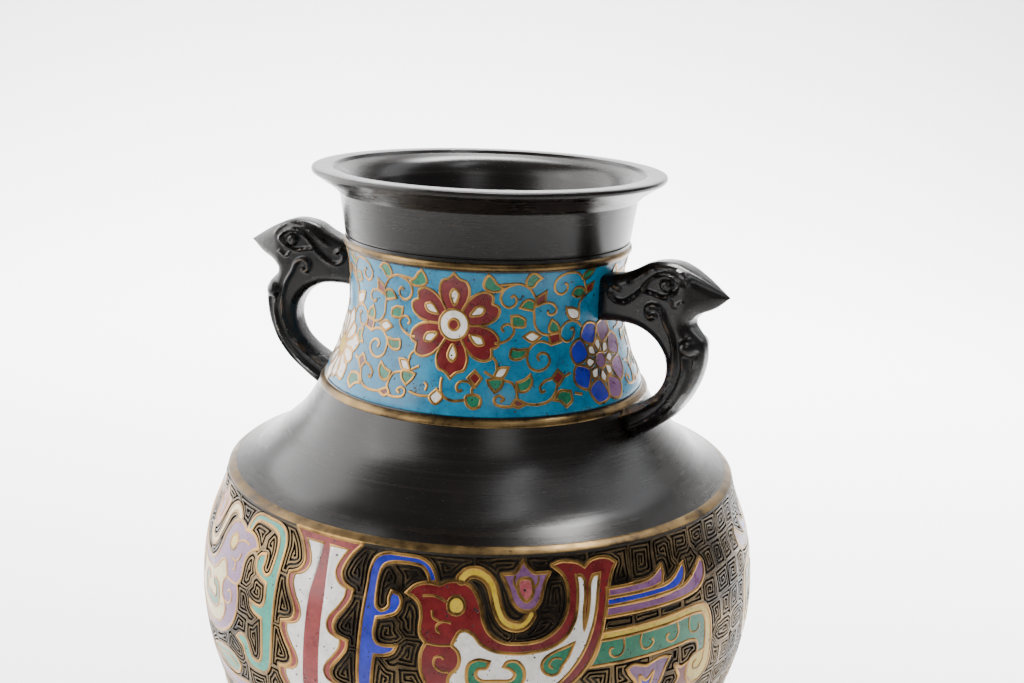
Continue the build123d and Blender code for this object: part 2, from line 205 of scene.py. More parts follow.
def circle(centre, radius, count=28):
    a = np.linspace(0, 2 * math.pi, count, endpoint=False)
    return np.stack([centre[0] + radius * np.cos(a), centre[1] + radius * np.sin(a)], 1)


def spiral(centre, radius, turns, start, hand=1, inner=0.25):
    """A volute: from its outer end inwards."""
    count = max(10, int(26 * turns))
    f = np.linspace(0, 1, count)
    a = math.radians(start) + hand * 2 * math.pi * turns * f
    r = radius * (1 - (1 - inner) * f)
    return np.stack([centre[0] + r * np.cos(a), centre[1] + r * np.sin(a)], 1)


# ---- surfaces of revolution ------------------------------------------------------------------
def outer_points(points, top, bottom):
    top_z, _, _, top_radius, top_tall, _ = SEAMS[top]
    low_z, _, low_radius, _, low_tall, _ = SEAMS[bottom]
    return [(top_radius, top_z - top_tall / 2), *points, (low_radius, low_z + low_tall / 2)]


def inner_points(points, top, bottom):
    first = (SEAMS[top][1] - JOINT_WALL, SEAMS[top][0])
    last = (SEAMS[bottom][1] - JOINT_WALL, SEAMS[bottom][0])
    return [first, *[(x - WALL, z) for x, z in points], last]


class Surface:
    """A section's outer surface, as radius and normal by height, with a flat drawing map."""

    def __init__(self, points, map_radius):
        samples = spline_profile(points)[::-1]
        slope = np.gradient(samples[:, 0]) / np.gradient(samples[:, 1])
        size = np.sqrt(1 + slope**2)
        self.z = samples[:, 1]
        self.radius = samples[:, 0]
        self.normal_r = 1 / size
        self.normal_z = -slope / size
        self.map_radius = map_radius

    def place(self, drawing, height, angle, mirror=1):
        """Points of the drawing (along the girth, height) at a height over the surface, in metres."""
        s, z = drawing[:, 0], drawing[:, 1]
        radius = np.interp(z, self.z, self.radius) + height * np.interp(z, self.z, self.normal_r)
        level = z + height * np.interp(z, self.z, self.normal_z)
        a = math.radians(angle) + mirror * s / self.map_radius
        return np.stack([radius * np.sin(a), -radius * np.cos(a), level], 1) * MM


neck_surface = Surface(outer_points(NECK, "neck_top_bead", "neck_bottom_bead"), NECK_MAP_RADIUS)
belly_surface = Surface(outer_points(BELLY, "shoulder_bead", "belly_bottom_bead"), MAP_RADIUS)
lower_surface = Surface(outer_points(LOWER_BAND, "belly_bottom_bead", "lower_band_bead"), 84.0)
foot_surface = Surface(outer_points(FOOT_BAND, "foot_top_bead", "foot_rim_bead"), 52.0)


# ---- meshes -----------------------------------------------------------------------------------
def signed_volume(verts, faces):
    """The volume that faces enclose: negative when they look inwards."""
    total = 0.0
    for size in {len(f) for f in faces}:
        block = np.array([f for f in faces if len(f) == size])
        first = verts[block[:, 0]]
        for k in range(1, size - 1):
            cross = np.cross(verts[block[:, k]], verts[block[:, k + 1]])
            total += (first * cross).sum()
    return total


class Mesh:
    """Vertices and faces gathered for one piece."""

    def __init__(self):
        self.verts = []
        self.faces = []
        self.count = 0

    def add(self, verts, faces):
        """Adds a closed body, turned so that its faces look outwards."""
        verts = np.asarray(verts, float)
        order = 1 if signed_volume(verts, faces) > 0 else -1
        self.verts.append(verts)
        self.faces += [tuple(i + self.count for i in f[::order]) for f in faces]
        self.count += len(verts)

    def piece(self, name, material, slot, replaces=(), sharp=40):
        mesh = bpy.data.meshes.new(name)
        mesh.from_pydata(np.vstack(self.verts).tolist(), [], self.faces)
        mesh.polygons.foreach_set("use_smooth", [True] * len(mesh.polygons))
        mesh.set_sharp_from_angle(angle=math.radians(sharp))
        mesh.materials.append(material)
        obj = bpy.data.objects.new(name, mesh)
        bpy.context.scene.collection.objects.link(obj)
        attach(obj, "root")
        if replaces:
            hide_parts(*replaces)
        return obj


def ring_faces(rows, size, closed):
    """Quads between rows of points that each close on themselves."""
    faces = []
    for i in range(rows if closed else rows - 1):
        a, b = i * size, ((i + 1) % rows) * size
        faces += [(a + k, a + (k + 1) % size, b + (k + 1) % size, b + k) for k in range(size)]
    return faces


def add_lathe(mesh, profile, segments=288):
    """A closed profile turned about the axis."""
    p = np.array(profile, float)
    a = np.linspace(0, 2 * math.pi, segments, endpoint=False)
    r, z = p[:, 0][None, :], p[:, 1][None, :]
    ring = np.stack([r * np.cos(a)[:, None], r * np.sin(a)[:, None], z + 0 * a[:, None]], -1)
    mesh.add(ring.reshape(-1, 3) * MM, ring_faces(segments, len(p), True))


def add_ribbon(mesh, surface, line, closed, width, top, foot, angle, mirror=1):
    """A cast wall that follows a line of the drawing, with a slightly rounded top."""
    p = np.asarray(line, float)
    if closed:
        before, after = p - np.roll(p, 1, 0), np.roll(p, -1, 0) - p
    else:
        step = np.diff(p, axis=0)
        before, after = np.vstack([step[:1], step]), np.vstack([step, step[-1:]])
    sides = []
    for d in (before, after):
        d = d / np.maximum(np.linalg.norm(d, axis=1), 1e-9)[:, None]
        sides.append(np.stack([-d[:, 1], d[:, 0]], 1))
    n = sides[0] + sides[1]
    n /= np.maximum(np.linalg.norm(n, axis=1), 1e-6)[:, None]
    n /= np.maximum((n * sides[0]).sum(1), 0.6)[:, None]
    half = np.broadcast_to(np.asarray(width, float) / 2, (len(p),))[:, None]
    crown = 0.25 * float(np.mean(half))
    section = [(-1, foot), (-1, top - crown), (-0.62, top), (0.62, top), (1, top - crown), (1, foot)]
    rows = [surface.place(p + n * half * k, h, angle, mirror) for k, h in section]
    verts = np.stack(rows, 1).reshape(-1, 3)
    size = len(section)
    faces = ring_faces(len(p), size, closed)
    if not closed:
        last = (len(p) - 1) * size
        faces += [tuple(range(size))[::-1], tuple(last + k for k in range(size))]
    mesh.add(verts, faces)


def inside(points, outline):
    """Which points lie inside a closed outline."""
    x, y = points[:, 0], points[:, 1]
    hit = np.zeros(len(points), bool)
    a, b = outline, np.roll(outline, -1, 0)
    for (x0, y0), (x1, y1) in zip(a, b):
        if y0 == y1:
            continue
        crosses = ((y0 > y) != (y1 > y)) & (x < (x1 - x0) * (y - y0) / (y1 - y0) + x0)
        hit ^= crosses
    return hit


def border_edges(tris):
    """The directed edges that only one triangle has."""
    edges = {}
    for tri in tris:
        for pair in zip(tri, [*tri[1:], tri[0]]):
            edges[tuple(pair)] = True
    return [e for e in edges if e[::-1] not in edges]


def two_sided(tris, border, count):
    """Faces of a body whose front and back are the same net, joined along the border."""
    faces = [tuple(t) for t in tris] + [tuple(i + count for i in t[::-1]) for t in tris]
    return faces + [(b, a, a + count, b + count) for a, b in border]


def net_over(points, rim_count, tolerance):
    """Triangles between points, inside the closed rim that the first of them make."""
    edges = [(i, (i + 1) % rim_count) for i in range(rim_count)]
    coords = [Vector((float(x), float(y))) for x, y in points]
    flat, _, tris, *_ = geometry.delaunay_2d_cdt(coords, edges, [], 1, tolerance)
    return np.array([(v.x, v.y) for v in flat]), tris


def add_slab(mesh, surface, outline, top, foot, angle, mirror=1, spacing=3.0):
    """A field of enamel: a closed body with a curved top that fills an outline."""
    outline = np.asarray(outline, float)
    low, high = outline.min(0), outline.max(0)
    grid = np.stack(np.meshgrid(*[np.arange(low[k] + spacing / 2, high[k], spacing) for k in (0, 1)]), -1)
    grid = grid.reshape(-1, 2)
    if len(grid):
        grid = grid[inside(grid, outline)]
        gap = np.linalg.norm(grid[:, None] - outline[None], axis=2).min(1) if len(grid) else grid
        grid = grid[gap > 0.5] if len(grid) else grid
    points = np.vstack([outline, grid]) if len(grid) else outline
    flat, tris = net_over(points, len(outline), 1e-5)
    if not len(tris):
        return
    verts = np.vstack([surface.place(flat, top, angle, mirror), surface.place(flat, foot, angle, mirror)])
    mesh.add(verts, two_sided(tris, border_edges(tris), len(flat)))


# ---- materials --------------------------------------------------------------------------------
class Shader:
    """A procedural material being put together round its principled shader."""

    def __init__(self, name, roughness, metallic, **values):
        self.material = bpy.data.materials.new(name)
        self.material.use_nodes = True
        self.tree = self.material.node_tree
        self.base = self.tree.nodes["Principled BSDF"]
        self.base.inputs["Roughness"].default_value = roughness
        self.base.inputs["Metallic"].default_value = metallic
        for key, value in values.items():
            self.base.inputs[key.replace("_", " ")].default_value = value
        self.place = self.node("ShaderNodeTexCoord").outputs["Object"]

    def node(self, kind, sockets=(), **settings):
        made = self.tree.nodes.new(kind)
        for key, value in settings.items():
            setattr(made, key, value)
        for key, value in dict(sockets).items():
            if isinstance(value, bpy.types.NodeSocket):
                self.tree.links.new(value, made.inputs[key])
            else:
                made.inputs[key].default_value = value
        return made

    def stretched(self, scale):
        mapping = self.node("ShaderNodeMapping", {"Vector": self.place, "Scale": scale})
        return mapping.outputs["Vector"]

    def noise(self, scale, detail=4, rough=0.55, vector=None):
        sockets = {"Vector": vector or self.place, "Scale": scale, "Detail": detail, "Roughness": rough}
        return self.node("ShaderNodeTexNoise", sockets).outputs["Fac"]

    def cells(self, scale, vector=None):
        sockets = {"Vector": vector or self.place, "Scale": scale}
        return self.node("ShaderNodeTexVoronoi", sockets).outputs["Distance"]

    def ramp(self, value, stops):
        made = self.node("ShaderNodeValToRGB", {"Fac": value})
        ramp = made.color_ramp
        while len(ramp.elements) < len(stops):
            ramp.elements.new(0.5)
        for element, (place, colour) in zip(ramp.elements, stops):
            element.position = place
            element.color = (*colour, 1) if len(colour) == 3 else (colour[0],) * 3 + (1,)
        return made.outputs["Color"]

    def mix(self, factor, a, b):
        sockets = {"Factor": factor, "A": a, "B": b}
        made = self.tree.nodes.new("ShaderNodeMix")
        made.data_type = "RGBA"
        slots = {"Factor": made.inputs[0], "A": made.inputs[6], "B": made.inputs[7]}
        for key, value in sockets.items():
            if isinstance(value, bpy.types.NodeSocket):
                self.tree.links.new(value, slots[key])
            else:
                slots[key].default_value = value if isinstance(value, float) else (*value, 1)
        return made.outputs[2]

    def finish(self, colour, roughness=None, bumps=()):
        """Bumps are (height socket, strength, distance in metres)."""
        self.tree.links.new(colour, self.base.inputs["Base Color"])
        if roughness is not None:
            self.tree.links.new(roughness, self.base.inputs["Roughness"])
        normal = None
        for height, strength, distance in bumps:
            sockets = {"Height": height, "Strength": strength, "Distance": distance}
            if normal is not None:
                sockets["Normal"] = normal
            normal = self.node("ShaderNodeBump", sockets).outputs["Normal"]
        if normal is not None:
            self.tree.links.new(normal, self.base.inputs["Normal"])
        return self.material


LATHE_STREAKS = (6, 6, 900)      # noise drawn out along the girth, as a lathe leaves it


def turned_bronze():
    """Dark brown-black patina over turned bronze, with fine lathe lines."""
    s = Shader("turned_bronze", 0.3, 0.25, Specular_IOR_Level=0.42)
    patches = s.noise(26, 5, 0.6)
    streaks = s.noise(1, 5, 0.65, s.stretched(LATHE_STREAKS))
    brown = s.ramp(patches, [(0.3, (0.0030, 0.0021, 0.0016)), (0.56, (0.0055, 0.0037, 0.0026)),
                             (0.78, (0.012, 0.0075, 0.0045))])
    colour = s.mix(s.ramp(streaks, [(0.5, (0.0,)), (0.82, (0.45,))]), brown, (0.022, 0.014, 0.008))
    rough = s.ramp(s.mix(0.4, patches, streaks), [(0.3, (0.20,)), (0.7, (0.33,))])
    fine = s.noise(1, 3, 0.6, s.stretched((4, 4, 2600)))
    dust = s.ramp(s.cells(420), [(0.045, (1.0,)), (0.06, (0.0,))])
    colour = s.mix(s.ramp(dust, [(0.0, (0.0,)), (1.0, (0.35,))]), colour, (0.22, 0.19, 0.16))
    return s.finish(colour, rough, [(streaks, 0.10, 0.0003), (fine, 0.08, 0.0001)])


def cast_bronze():
    """Glossy black patina over a rough casting, rubbed through to gold on the high edges."""
    s = Shader("cast_bronze", 0.3, 0.5, Specular_IOR_Level=0.4, Coat_Weight=0.25, Coat_Roughness=0.12)
    lumps = s.noise(190, 6, 0.62)
    patches = s.noise(38, 4, 0.6)
    black = s.ramp(patches, [(0.35, (0.0020, 0.0017, 0.0015)), (0.75, (0.0075, 0.0055, 0.0042))])
    edge = s.ramp(s.node("ShaderNodeNewGeometry").outputs["Pointiness"], [(0.53, (0.0,)), (0.60, (1.0,))])
    worn = s.mix(s.ramp(lumps, [(0.50, (0.0,)), (0.66, (0.8,))]), (0.0, 0.0, 0.0), edge)
    colour = s.mix(worn, black, (0.20, 0.115, 0.042))
    rough = s.ramp(lumps, [(0.3, (0.2,)), (0.7, (0.42,))])
    pits = s.noise(520, 3, 0.6)
    return s.finish(colour, rough, [(lumps, 0.5, 0.0006), (pits, 0.3, 0.0002)])


def rubbed_metal(name, gold, dark, low, high, roughness, scale=90):
    """Bare metal with patina left in patches: low and high say how much of it is bare."""
    s = Shader(name, roughness, 1.0)
    patches = s.noise(scale, 6, 0.66)
    tint = s.noise(scale * 4, 3, 0.5)
    bright = s.mix(tint, gold, tuple(0.62 * c for c in gold))
    colour = s.mix(s.ramp(patches, [(low, (0.0,)), (high, (1.0,))]), dark, bright)
    rough = s.ramp(tint, [(0.3, (roughness * 0.8,)), (0.7, (min(1.0, roughness * 1.35),))])
    return s.finish(colour, rough, [(patches, 0.25, 0.00025), (tint, 0.2, 0.0001)])


def pocket_bronze():
    """The sunk ground of the casting: black, matt, with brown dirt."""
    s = Shader("pocket_bronze", 0.6, 0.55)
    dirt = s.noise(260, 5, 0.6)
    colour = s.ramp(dirt, [(0.35, (0.006, 0.005, 0.0045)), (0.75, (0.045, 0.032, 0.02))])
    rough = s.ramp(dirt, [(0.3, (0.5,)), (0.7, (0.75,))])
    return s.finish(colour, rough, [(dirt, 0.5, 0.0003)])


def enamel(name, light, dark, pits=0.5, speckle=(0.012, 0.010, 0.009)):
    """Fired enamel: mottled, pitted with small dark pinholes and ground to a soft gloss."""
    s = Shader(name, 0.3, 0.0, Specular_IOR_Level=0.4)
    cloud = s.noise(170, 5, 0.62)
    grain = s.noise(900, 2, 0.5)
    body = s.mix(s.ramp(cloud, [(0.32, (0.0,)), (0.7, (1.0,))]), dark, light)
    body = s.mix(s.ramp(grain, [(0.55, (0.0,)), (0.78, (0.5,))]), body, tuple(0.55 * c for c in dark))
    holes = s.cells(620)
    some = s.noise(330, 2, 0.5)
    hole = s.ramp(s.mix(0.5, holes, some), [(0.28, (1.0,)), (0.28 + 0.035 * pits, (0.0,))])
    specks = s.ramp(s.mix(0.5, s.cells(1500), some), [(0.22, (0.9,)), (0.27, (0.0,))])
    colour = s.mix(hole, s.mix(specks, body, speckle), speckle)
    rough = s.ramp(cloud, [(0.3, (0.22,)), (0.7, (0.42,))])
    inverse = s.ramp(hole, [(0.0, (1.0,)), (1.0, (0.0,))])
    return s.finish(colour, rough, [(inverse, 0.6, 0.0002), (cloud, 0.2, 0.0002)])


GOLD = (0.44, 0.24, 0.07)
BRONZE = turned_bronze()
CAST = cast_bronze()
RING_BRASS = rubbed_metal("ring_brass", (0.26, 0.165, 0.065), (0.030, 0.020, 0.011), 0.34, 0.66, 0.34)
WALL_GOLD = rubbed_metal("wall_gold", GOLD, (0.11, 0.062, 0.022), 0.38, 0.58, 0.34)
FRET_METAL = rubbed_metal("fret_metal", (0.20, 0.135, 0.065), (0.028, 0.021, 0.015), 0.38, 0.64, 0.36, 60)
POCKET = pocket_bronze()
ENAMELS = {
    "red": enamel("red_enamel", (0.17, 0.008, 0.008), (0.085, 0.004, 0.005)),
    "white": enamel("white_enamel", (0.80, 0.77, 0.72), (0.60, 0.56, 0.50), 1.0, (0.05, 0.035, 0.03)),
    "blue": enamel("blue_enamel", (0.012, 0.022, 0.40), (0.006, 0.010, 0.20)),
    "teal": enamel("teal_enamel", (0.008, 0.30, 0.20), (0.004, 0.17, 0.12)),
    "green": enamel("green_enamel", (0.004, 0.17, 0.08), (0.002, 0.085, 0.04)),
    "yellow": enamel("yellow_enamel", (0.62, 0.45, 0.05), (0.42, 0.27, 0.02), 1.0, (0.08, 0.045, 0.02)),
    "mauve": enamel("mauve_enamel", (0.20, 0.09, 0.20), (0.11, 0.04, 0.11)),
    "pink": enamel("pink_enamel", (0.45, 0.13, 0.13), (0.26, 0.05, 0.06)),
    "ivory": enamel("ivory_enamel", (0.66, 0.56, 0.28), (0.48, 0.38, 0.16), 1.0, (0.08, 0.05, 0.03)),
    "salmon": enamel("salmon_enamel", (0.26, 0.028, 0.024), (0.14, 0.012, 0.012)),
    "turquoise": enamel("turquoise_enamel", (0.001, 0.19, 0.33), (0.0006, 0.10, 0.19)),
}
SLOTS = {"pink": "mauve_enamel", "ivory": "yellow_enamel", "salmon": "red_enamel"}


def slot_of(colour):
    return SLOTS.get(colour, f"{colour}_enamel")


# ---- turned sections --------------------------------------------------------------------------
def bead_profile(name):
    z, land, above, below, tall, proud = SEAMS[name]
    low, high, back = z - tall / 2, z + tall / 2, land - 1.0
    top, foot = np.array([above, high]), np.array([below, low])
    out = (above + below) / 2 + proud
    arc = []
    for f in np.linspace(0, 1, 13):
        along = foot + (top - foot) * f
        arc.append((along[0] + (out - (above + below) / 2) * math.sin(math.pi * f) ** 0.6, along[1]))
    return [(back, low), *arc, (back, high)]


def section_profile(points, top, bottom, sunk=None):
    """The closed wall of a section; sunk is (low, high): the heights of its enamel ground."""
    outer = spline_profile(outer_points(points, top, bottom), 0.8)
    inner = spline_profile(inner_points(points, top, bottom), 1.6)
    if sunk is not None:
        low, high = sunk
        floor = (outer[:, 1] > low) & (outer[:, 1] < high)
        first, last = np.flatnonzero(floor)[[0, -1]]
        rim_high = [np.interp(high, outer[::-1, 1], outer[::-1, 0]), high]
        rim_low = [np.interp(low, outer[::-1, 1], outer[::-1, 0]), low]
        bed = outer[first : last + 1] + [POCKET_FLOOR, 0]
        step_high = [rim_high[0] + POCKET_FLOOR, high]
        step_low = [rim_low[0] + POCKET_FLOOR, low]
        outer = np.vstack([outer[:first], [rim_high, step_high], bed, [step_low, rim_low], outer[last + 1 :]])
    return np.vstack([outer[::-1], inner])


def mouth_profile():
    """The lip, flare, collar and throat, with softened edges."""
    z, land, above, _, tall, _ = SEAMS["neck_top_bead"]
    inner_lip, throat = LIP_RADIUS - LIP_BAND, land - JOINT_WALL
    foot = z + tall / 2
    flare = spline_profile(FLARE, 0.4)[::-1]
    outside = [(throat, foot - 3.6), (throat + 1.6, foot - 3.6), (throat + 1.6, foot), (above, foot)]
    outside += [(above, foot + 1.0), (above - 0.5, foot + 1.2)]
    outside += [(above - 0.5, foot + 1.7), (above + 0.1, foot + 1.9)]
    outside += [(COLLAR_TOP_RADIUS - 0.1, FLARE_FOOT_Z - 0.4), (COLLAR_TOP_RADIUS + 0.1, FLARE_FOOT_Z)]
    lip = [
        (LIP_RADIUS, HEIGHT - 1.2), (LIP_RADIUS, HEIGHT - 0.7), (LIP_RADIUS - 0.2, HEIGHT - 0.28),
        (LIP_RADIUS - 0.7, HEIGHT - 0.04), (LIP_RADIUS - 1.3, HEIGHT), (inner_lip + 0.9, HEIGHT),
        (inner_lip + 0.35, HEIGHT - 0.12), (inner_lip - 0.05, HEIGHT - 0.6),
    ]
    down = spline_profile([(inner_lip - 0.4, HEIGHT - 1.2), (47.4, 301.4), (throat + 2, FLARE_FOOT_Z)], 0.6)
    return np.vstack([outside, flare, lip, down, [(throat + 0.4, z + 8), (throat, z + 7)]])


def foot_rim_profile():
    z, land, _, below, tall, _ = SEAMS["foot_rim_bead"]
    x = FOOT_RIM[0][0]
    bottom_edge = [(x - 1.0, 0), (x - 0.3, 0.2), (x, 0.9)]
    top_edge = [(x, FOOT_RIM[0][1]), (below + 0.5, z - tall / 2 - 0.25), (below, z - tall / 2)]
    ledge = [
        (FOOT_INNER_RADIUS, z + 0.6), (FOOT_INNER_RADIUS, BASE_PLATE_Z + BASE_PLATE_THICKNESS),
        (FOOT_INNER_RADIUS, 0.5), (FOOT_INNER_RADIUS + 0.5, 0),
    ]
    return [*bottom_edge, *top_edge, (land, z - tall / 2), (land, z + 0.6), *ledge]


def lathe_piece(name, profile, material, slot, replaces, segments=288):
    mesh = Mesh()
    add_lathe(mesh, profile, segments)
    mesh.piece(name, material, slot, replaces, 32)


def build_turned_sections():
    neck = ("neck_top_bead", "neck_bottom_bead")
    belly = ("shoulder_bead", "belly_bottom_bead")
    lower = ("belly_bottom_bead", "lower_band_bead")
    foot = ("foot_top_bead", "foot_rim_bead")
    sections = {
        "mouth_turned": (mouth_profile(), "mouth_ring"),
        "neck_wall": (section_profile(NECK, *neck, NECK_BAND), "neck_sleeve"),
        "shoulder_turned": (
            section_profile(SHOULDER, "neck_bottom_bead", "shoulder_bead"), "shoulder_cone"),
        "lower_band_wall": (section_profile(LOWER_BAND, *lower, LOWER_BAND_RANGE), "lower_band"),
        "body_turned": (
            section_profile(LOWER_BODY, "lower_band_bead", "foot_top_bead"), "lower_body"),
        "foot_band_wall": (section_profile(FOOT_BAND, *foot, FOOT_BAND_RANGE), "foot_band"),
        "foot_rim_turned": (foot_rim_profile(), "foot_rim"),
    }
    for name, (profile, node) in sections.items():
        lathe_piece(name, profile, BRONZE, "bronze", [node])
    wall = section_profile(BELLY, *belly, BELLY_BAND)
    lathe_piece("belly_wall", wall, POCKET, "cast_bronze", ["belly_band"], 360)
    for name in SEAMS:
        lathe_piece(name + "_turned", bead_profile(name), RING_BRASS, "brass", [name])
    radius, z = BASE_PLATE_RADIUS - 0.2, BASE_PLATE_Z
    top = z + BASE_PLATE_THICKNESS
    plate = [(0.001, z), (radius - 0.4, z), (radius, z + 0.4), (radius, top), (0.001, top)]
    lathe_piece("base_plate_turned", plate, BRONZE, "bronze", ["base_plate"], 144)


# ---- the belly's drawing ----------------------------------------------------------------------
# Outlines are (distance along the girth from the front column, depth below the lip); a third
# item marks a sharp corner.  They are the middle lines of the cast walls, for the right-hand
# unit; the left-hand one is its mirror image.
COLUMN_CUSPS = (115.1, 129.8, 144.5, 159.2)
COLUMN_SIDE = [(13.0, 101.9, 1), (9.6, 105.5), (7.5, 109.3), (7.2, 111.3), (8.4, 113.4), (10.4, 114.6)]
for cusp in COLUMN_CUSPS:
    COLUMN_SIDE += [
        (12.0, cusp, 1), (11.8, cusp + 2.4), (10.0, cusp + 5.6), (7.9, cusp + 8.4),
        (7.1, cusp + 10.8), (7.9, cusp + 13.0), (10.0, cusp + 14.2),
    ]
COLUMN_SIDE[-3:] = [(8.0, 167.6), (9.2, 169.6), (13.0, 171.6, 1)]
SLOT_TOP, SLOT_FOOT = 104.4, 169.2
SLOT_INNER, SLOT_MARGIN = 1.3, 2.3

HOOK = [
    (16.5, 146.5), (16.3, 113), (16.4, 108.5), (17.8, 105), (21, 103.4), (26.5, 103.2),
    (32, 103.5), (35, 105), (36.9, 107.6), (37.6, 109.6, 1), (35.5, 110, 1), (34.5, 107.6),
    (32.9, 105.9), (30.5, 105.4), (23.5, 105.6), (20.7, 106.8), (19.7, 109), (19.6, 116),
    (20.1, 118.2), (21.9, 119), (23.7, 117.6), (23.6, 115.4), (24.1, 113.5, 1), (26.5, 114.2),
    (27.5, 116.2), (26.3, 119), (23.5, 120.4), (20.5, 121.2, 1), (20.1, 126), (21.1, 128.4),
    (23.5, 129), (27.1, 128.6, 1), (26.1, 130.6), (23.9, 131.8), (20.7, 132.3, 1), (20.3, 136),
    (20.3, 144.5), (21.6, 147), (24.6, 147.2), (26.2, 144.6), (27.3, 142.3), (29.2, 141.1),
    (31.6, 141.5), (33.6, 143.2, 1), (31.4, 144.2), (29.6, 145.2), (29, 147.6), (26.8, 150.1),
    (23, 150.7), (18.8, 149.8),
]
BIRD = [
    (28.7, 113.3, 1), (31.2, 111.1), (34.6, 110.1), (38.6, 110.4, 1), (41, 109.3),
    (44.5, 109.2), (47.6, 110.3), (49.6, 112.8), (50.9, 116), (51.6, 119.6), (53.4, 123),
    (57, 125.5), (62.5, 126.1), (68.5, 125.3), (72.6, 122.9), (75.5, 119.4), (76.9, 115),
    (77, 110.6), (75.8, 107.8), (72.4, 104.9, 1), (75, 104.1), (78.2, 104.3), (81, 105),
    (83.1, 106.3, 1), (85, 104.8), (88.4, 104.2), (91.6, 104.8), (94, 106.4, 1), (92.4, 108.5),
    (91, 111.4), (89.4, 116), (88, 120.5), (86.8, 125), (85, 129.6), (82.8, 133.6),
    (79.4, 137.6), (75, 141.4), (68, 145.6), (59, 148), (50, 147.6), (42.5, 144.8),
    (37.4, 140.8), (34.7, 136), (34.1, 132), (34.4, 129), (35.5, 126.6, 1), (33.8, 124.4),
    (33.5, 121.8), (33.7, 119), (33, 116.2), (31, 114.3),
]
BODY_AND_TAIL = [
    (46.8, 122.4), (49, 123.6), (51, 126), (54.5, 128), (59.5, 128.9), (65.5, 128.8),
    (71.5, 127.6), (75.6, 125), (78.4, 120.8), (79.8, 115.8), (80.3, 111), (80.1, 108.5, 1),
    (81.8, 108.7), (82.8, 110, 1), (82.5, 114), (81.5, 118.5), (81.3, 123.5, 1), (82.6, 119.5),
    (83.7, 115), (84.4, 111), (85.6, 109, 1), (87.9, 108.8, 1), (86.5, 114), (85.2, 119.2),
    (83.4, 124.6), (80.8, 130.2), (77.4, 135), (72.8, 139.4), (66, 143), (58, 145.2),
    (50.5, 144.8), (45.4, 142.6), (42.8, 139.6), (42.2, 137.2), (43, 135.2, 1), (44.6, 133.6),
    (45.3, 131), (44.6, 128.4), (42.9, 126.8, 1), (43.9, 124.6), (45, 122.8),
]
BODY_LEAF = [
    (78.1, 127, 1), (76, 131.5), (74.5, 133.5), (73.5, 135.6), (71.3, 136.2), (69.1, 134.8),
    (68.5, 132.6), (69.7, 130.6), (72.5, 129), (76, 127.8),
]
BODY_CURL = [
    (53.6, 131.2, 1), (50.5, 130.7), (48, 132), (47.3, 135), (47.8, 138), (50.5, 140),
    (56, 140.4), (61.5, 139.6), (63.5, 136.8), (63.2, 133.4), (61.2, 131.2), (58.6, 131.4),
    (57.7, 132.8, 1), (59.6, 133.6), (60.8, 135), (60, 136.8), (55.5, 137.1), (51.2, 136.9),
    (50, 135.6), (50.5, 133.6), (52.8, 133.2),
]
EYE = (43.7, 115.6)
PLUME_PATH = [
    (44.9, 108.4), (46.8, 106.8), (49.5, 106.5), (52.2, 107.7), (54, 109.8), (55, 113),
    (56, 116.6), (57.6, 119.6), (60.2, 121), (63, 120.8), (64.6, 119.4), (65.6, 117.9),
]
PLUME_WIDTH = 2.7
TULIP = [
    (63.5, 103.2, 1), (62.3, 105.2), (61.1, 106.6), (58.5, 106.9), (56.9, 106.9, 1),
    (58.1, 109), (59.2, 111.5), (60.1, 114.3), (61.7, 116.2), (63.7, 117), (66.3, 116.6),
    (68.3, 114.5), (69.2, 112), (70.1, 109.5), (71.7, 106.9, 1), (69.5, 106.9), (66.9, 106.8),
    (64.9, 105),
]
TULIP_HEART = [
    (62.3, 108.6), (61.7, 110.6), (62.7, 113.2), (64.3, 114.4), (66.1, 112.8), (66.5, 110.4),
    (65.5, 108.4),
]
UPPER_FEATHER = [
    (89.8, 113.2, 1), (100, 113.3), (105.5, 113), (108.6, 111.8), (111.2, 110.4, 1),
    (111.4, 112.4), (110.2, 115.2, 1), (106, 115.8), (89.4, 115.7, 1),
]
MIDDLE_FEATHER = [
    (89.4, 115.7, 1), (106, 115.9), (112.5, 115.7), (116.5, 114.2), (119.2, 112.4),
    (120.8, 111.8, 1), (120.6, 114.2), (118.6, 116.8), (114.5, 118.2), (89, 118.1, 1),
]
LOWER_FEATHER = [
    (89, 118.1, 1), (114.5, 118.2), (119, 118), (123, 116.6), (127, 114.2), (129.6, 112.6, 1),
    (130.6, 114), (129.6, 117.6), (126, 120.3), (121, 121.2), (88.4, 121, 1),
]
SCROLL_BAR = [
    (86.2, 127.6, 1), (110, 127.6), (122.5, 127.7), (126.5, 128.8), (127.7, 131), (127.6, 136),
    (127.3, 141, 1), (123.4, 141, 1), (123.6, 138.6), (122.8, 136.6), (120.5, 135.7),
    (110, 135.4), (82.6, 135.1, 1), (84.8, 131.5),
]
SCROLL_EDGE = [
    (87, 125.2, 1), (110, 125.2), (123.5, 125.3), (128.3, 126.8), (130.4, 130.5), (130.8, 138),
    (130.6, 144), (129.6, 148.6), (126, 151.2), (121.6, 151), (119, 147.6), (119, 144),
    (121, 141.2), (123.6, 141, 1), (127.4, 141, 1), (127.7, 136), (127.8, 131.5),
    (126.6, 128.9), (122.6, 127.7), (110, 127.6), (86.2, 127.6, 1),
]
LEAF = [
    (95.1, 138.2, 1), (97.1, 137.2), (100, 138), (102, 138.6, 1), (105.5, 137.6),
    (108.5, 137.4), (111.1, 138.2, 1), (109.3, 141), (108.1, 144), (106.3, 147), (103, 149, 1),
    (100, 146.5), (98, 142.5), (96.1, 140),
]
LEAF_HEART = [(99.7, 141.4), (102.1, 143.4), (104.7, 141.2), (103.5, 145), (101.9, 146), (100.3, 144.4)]
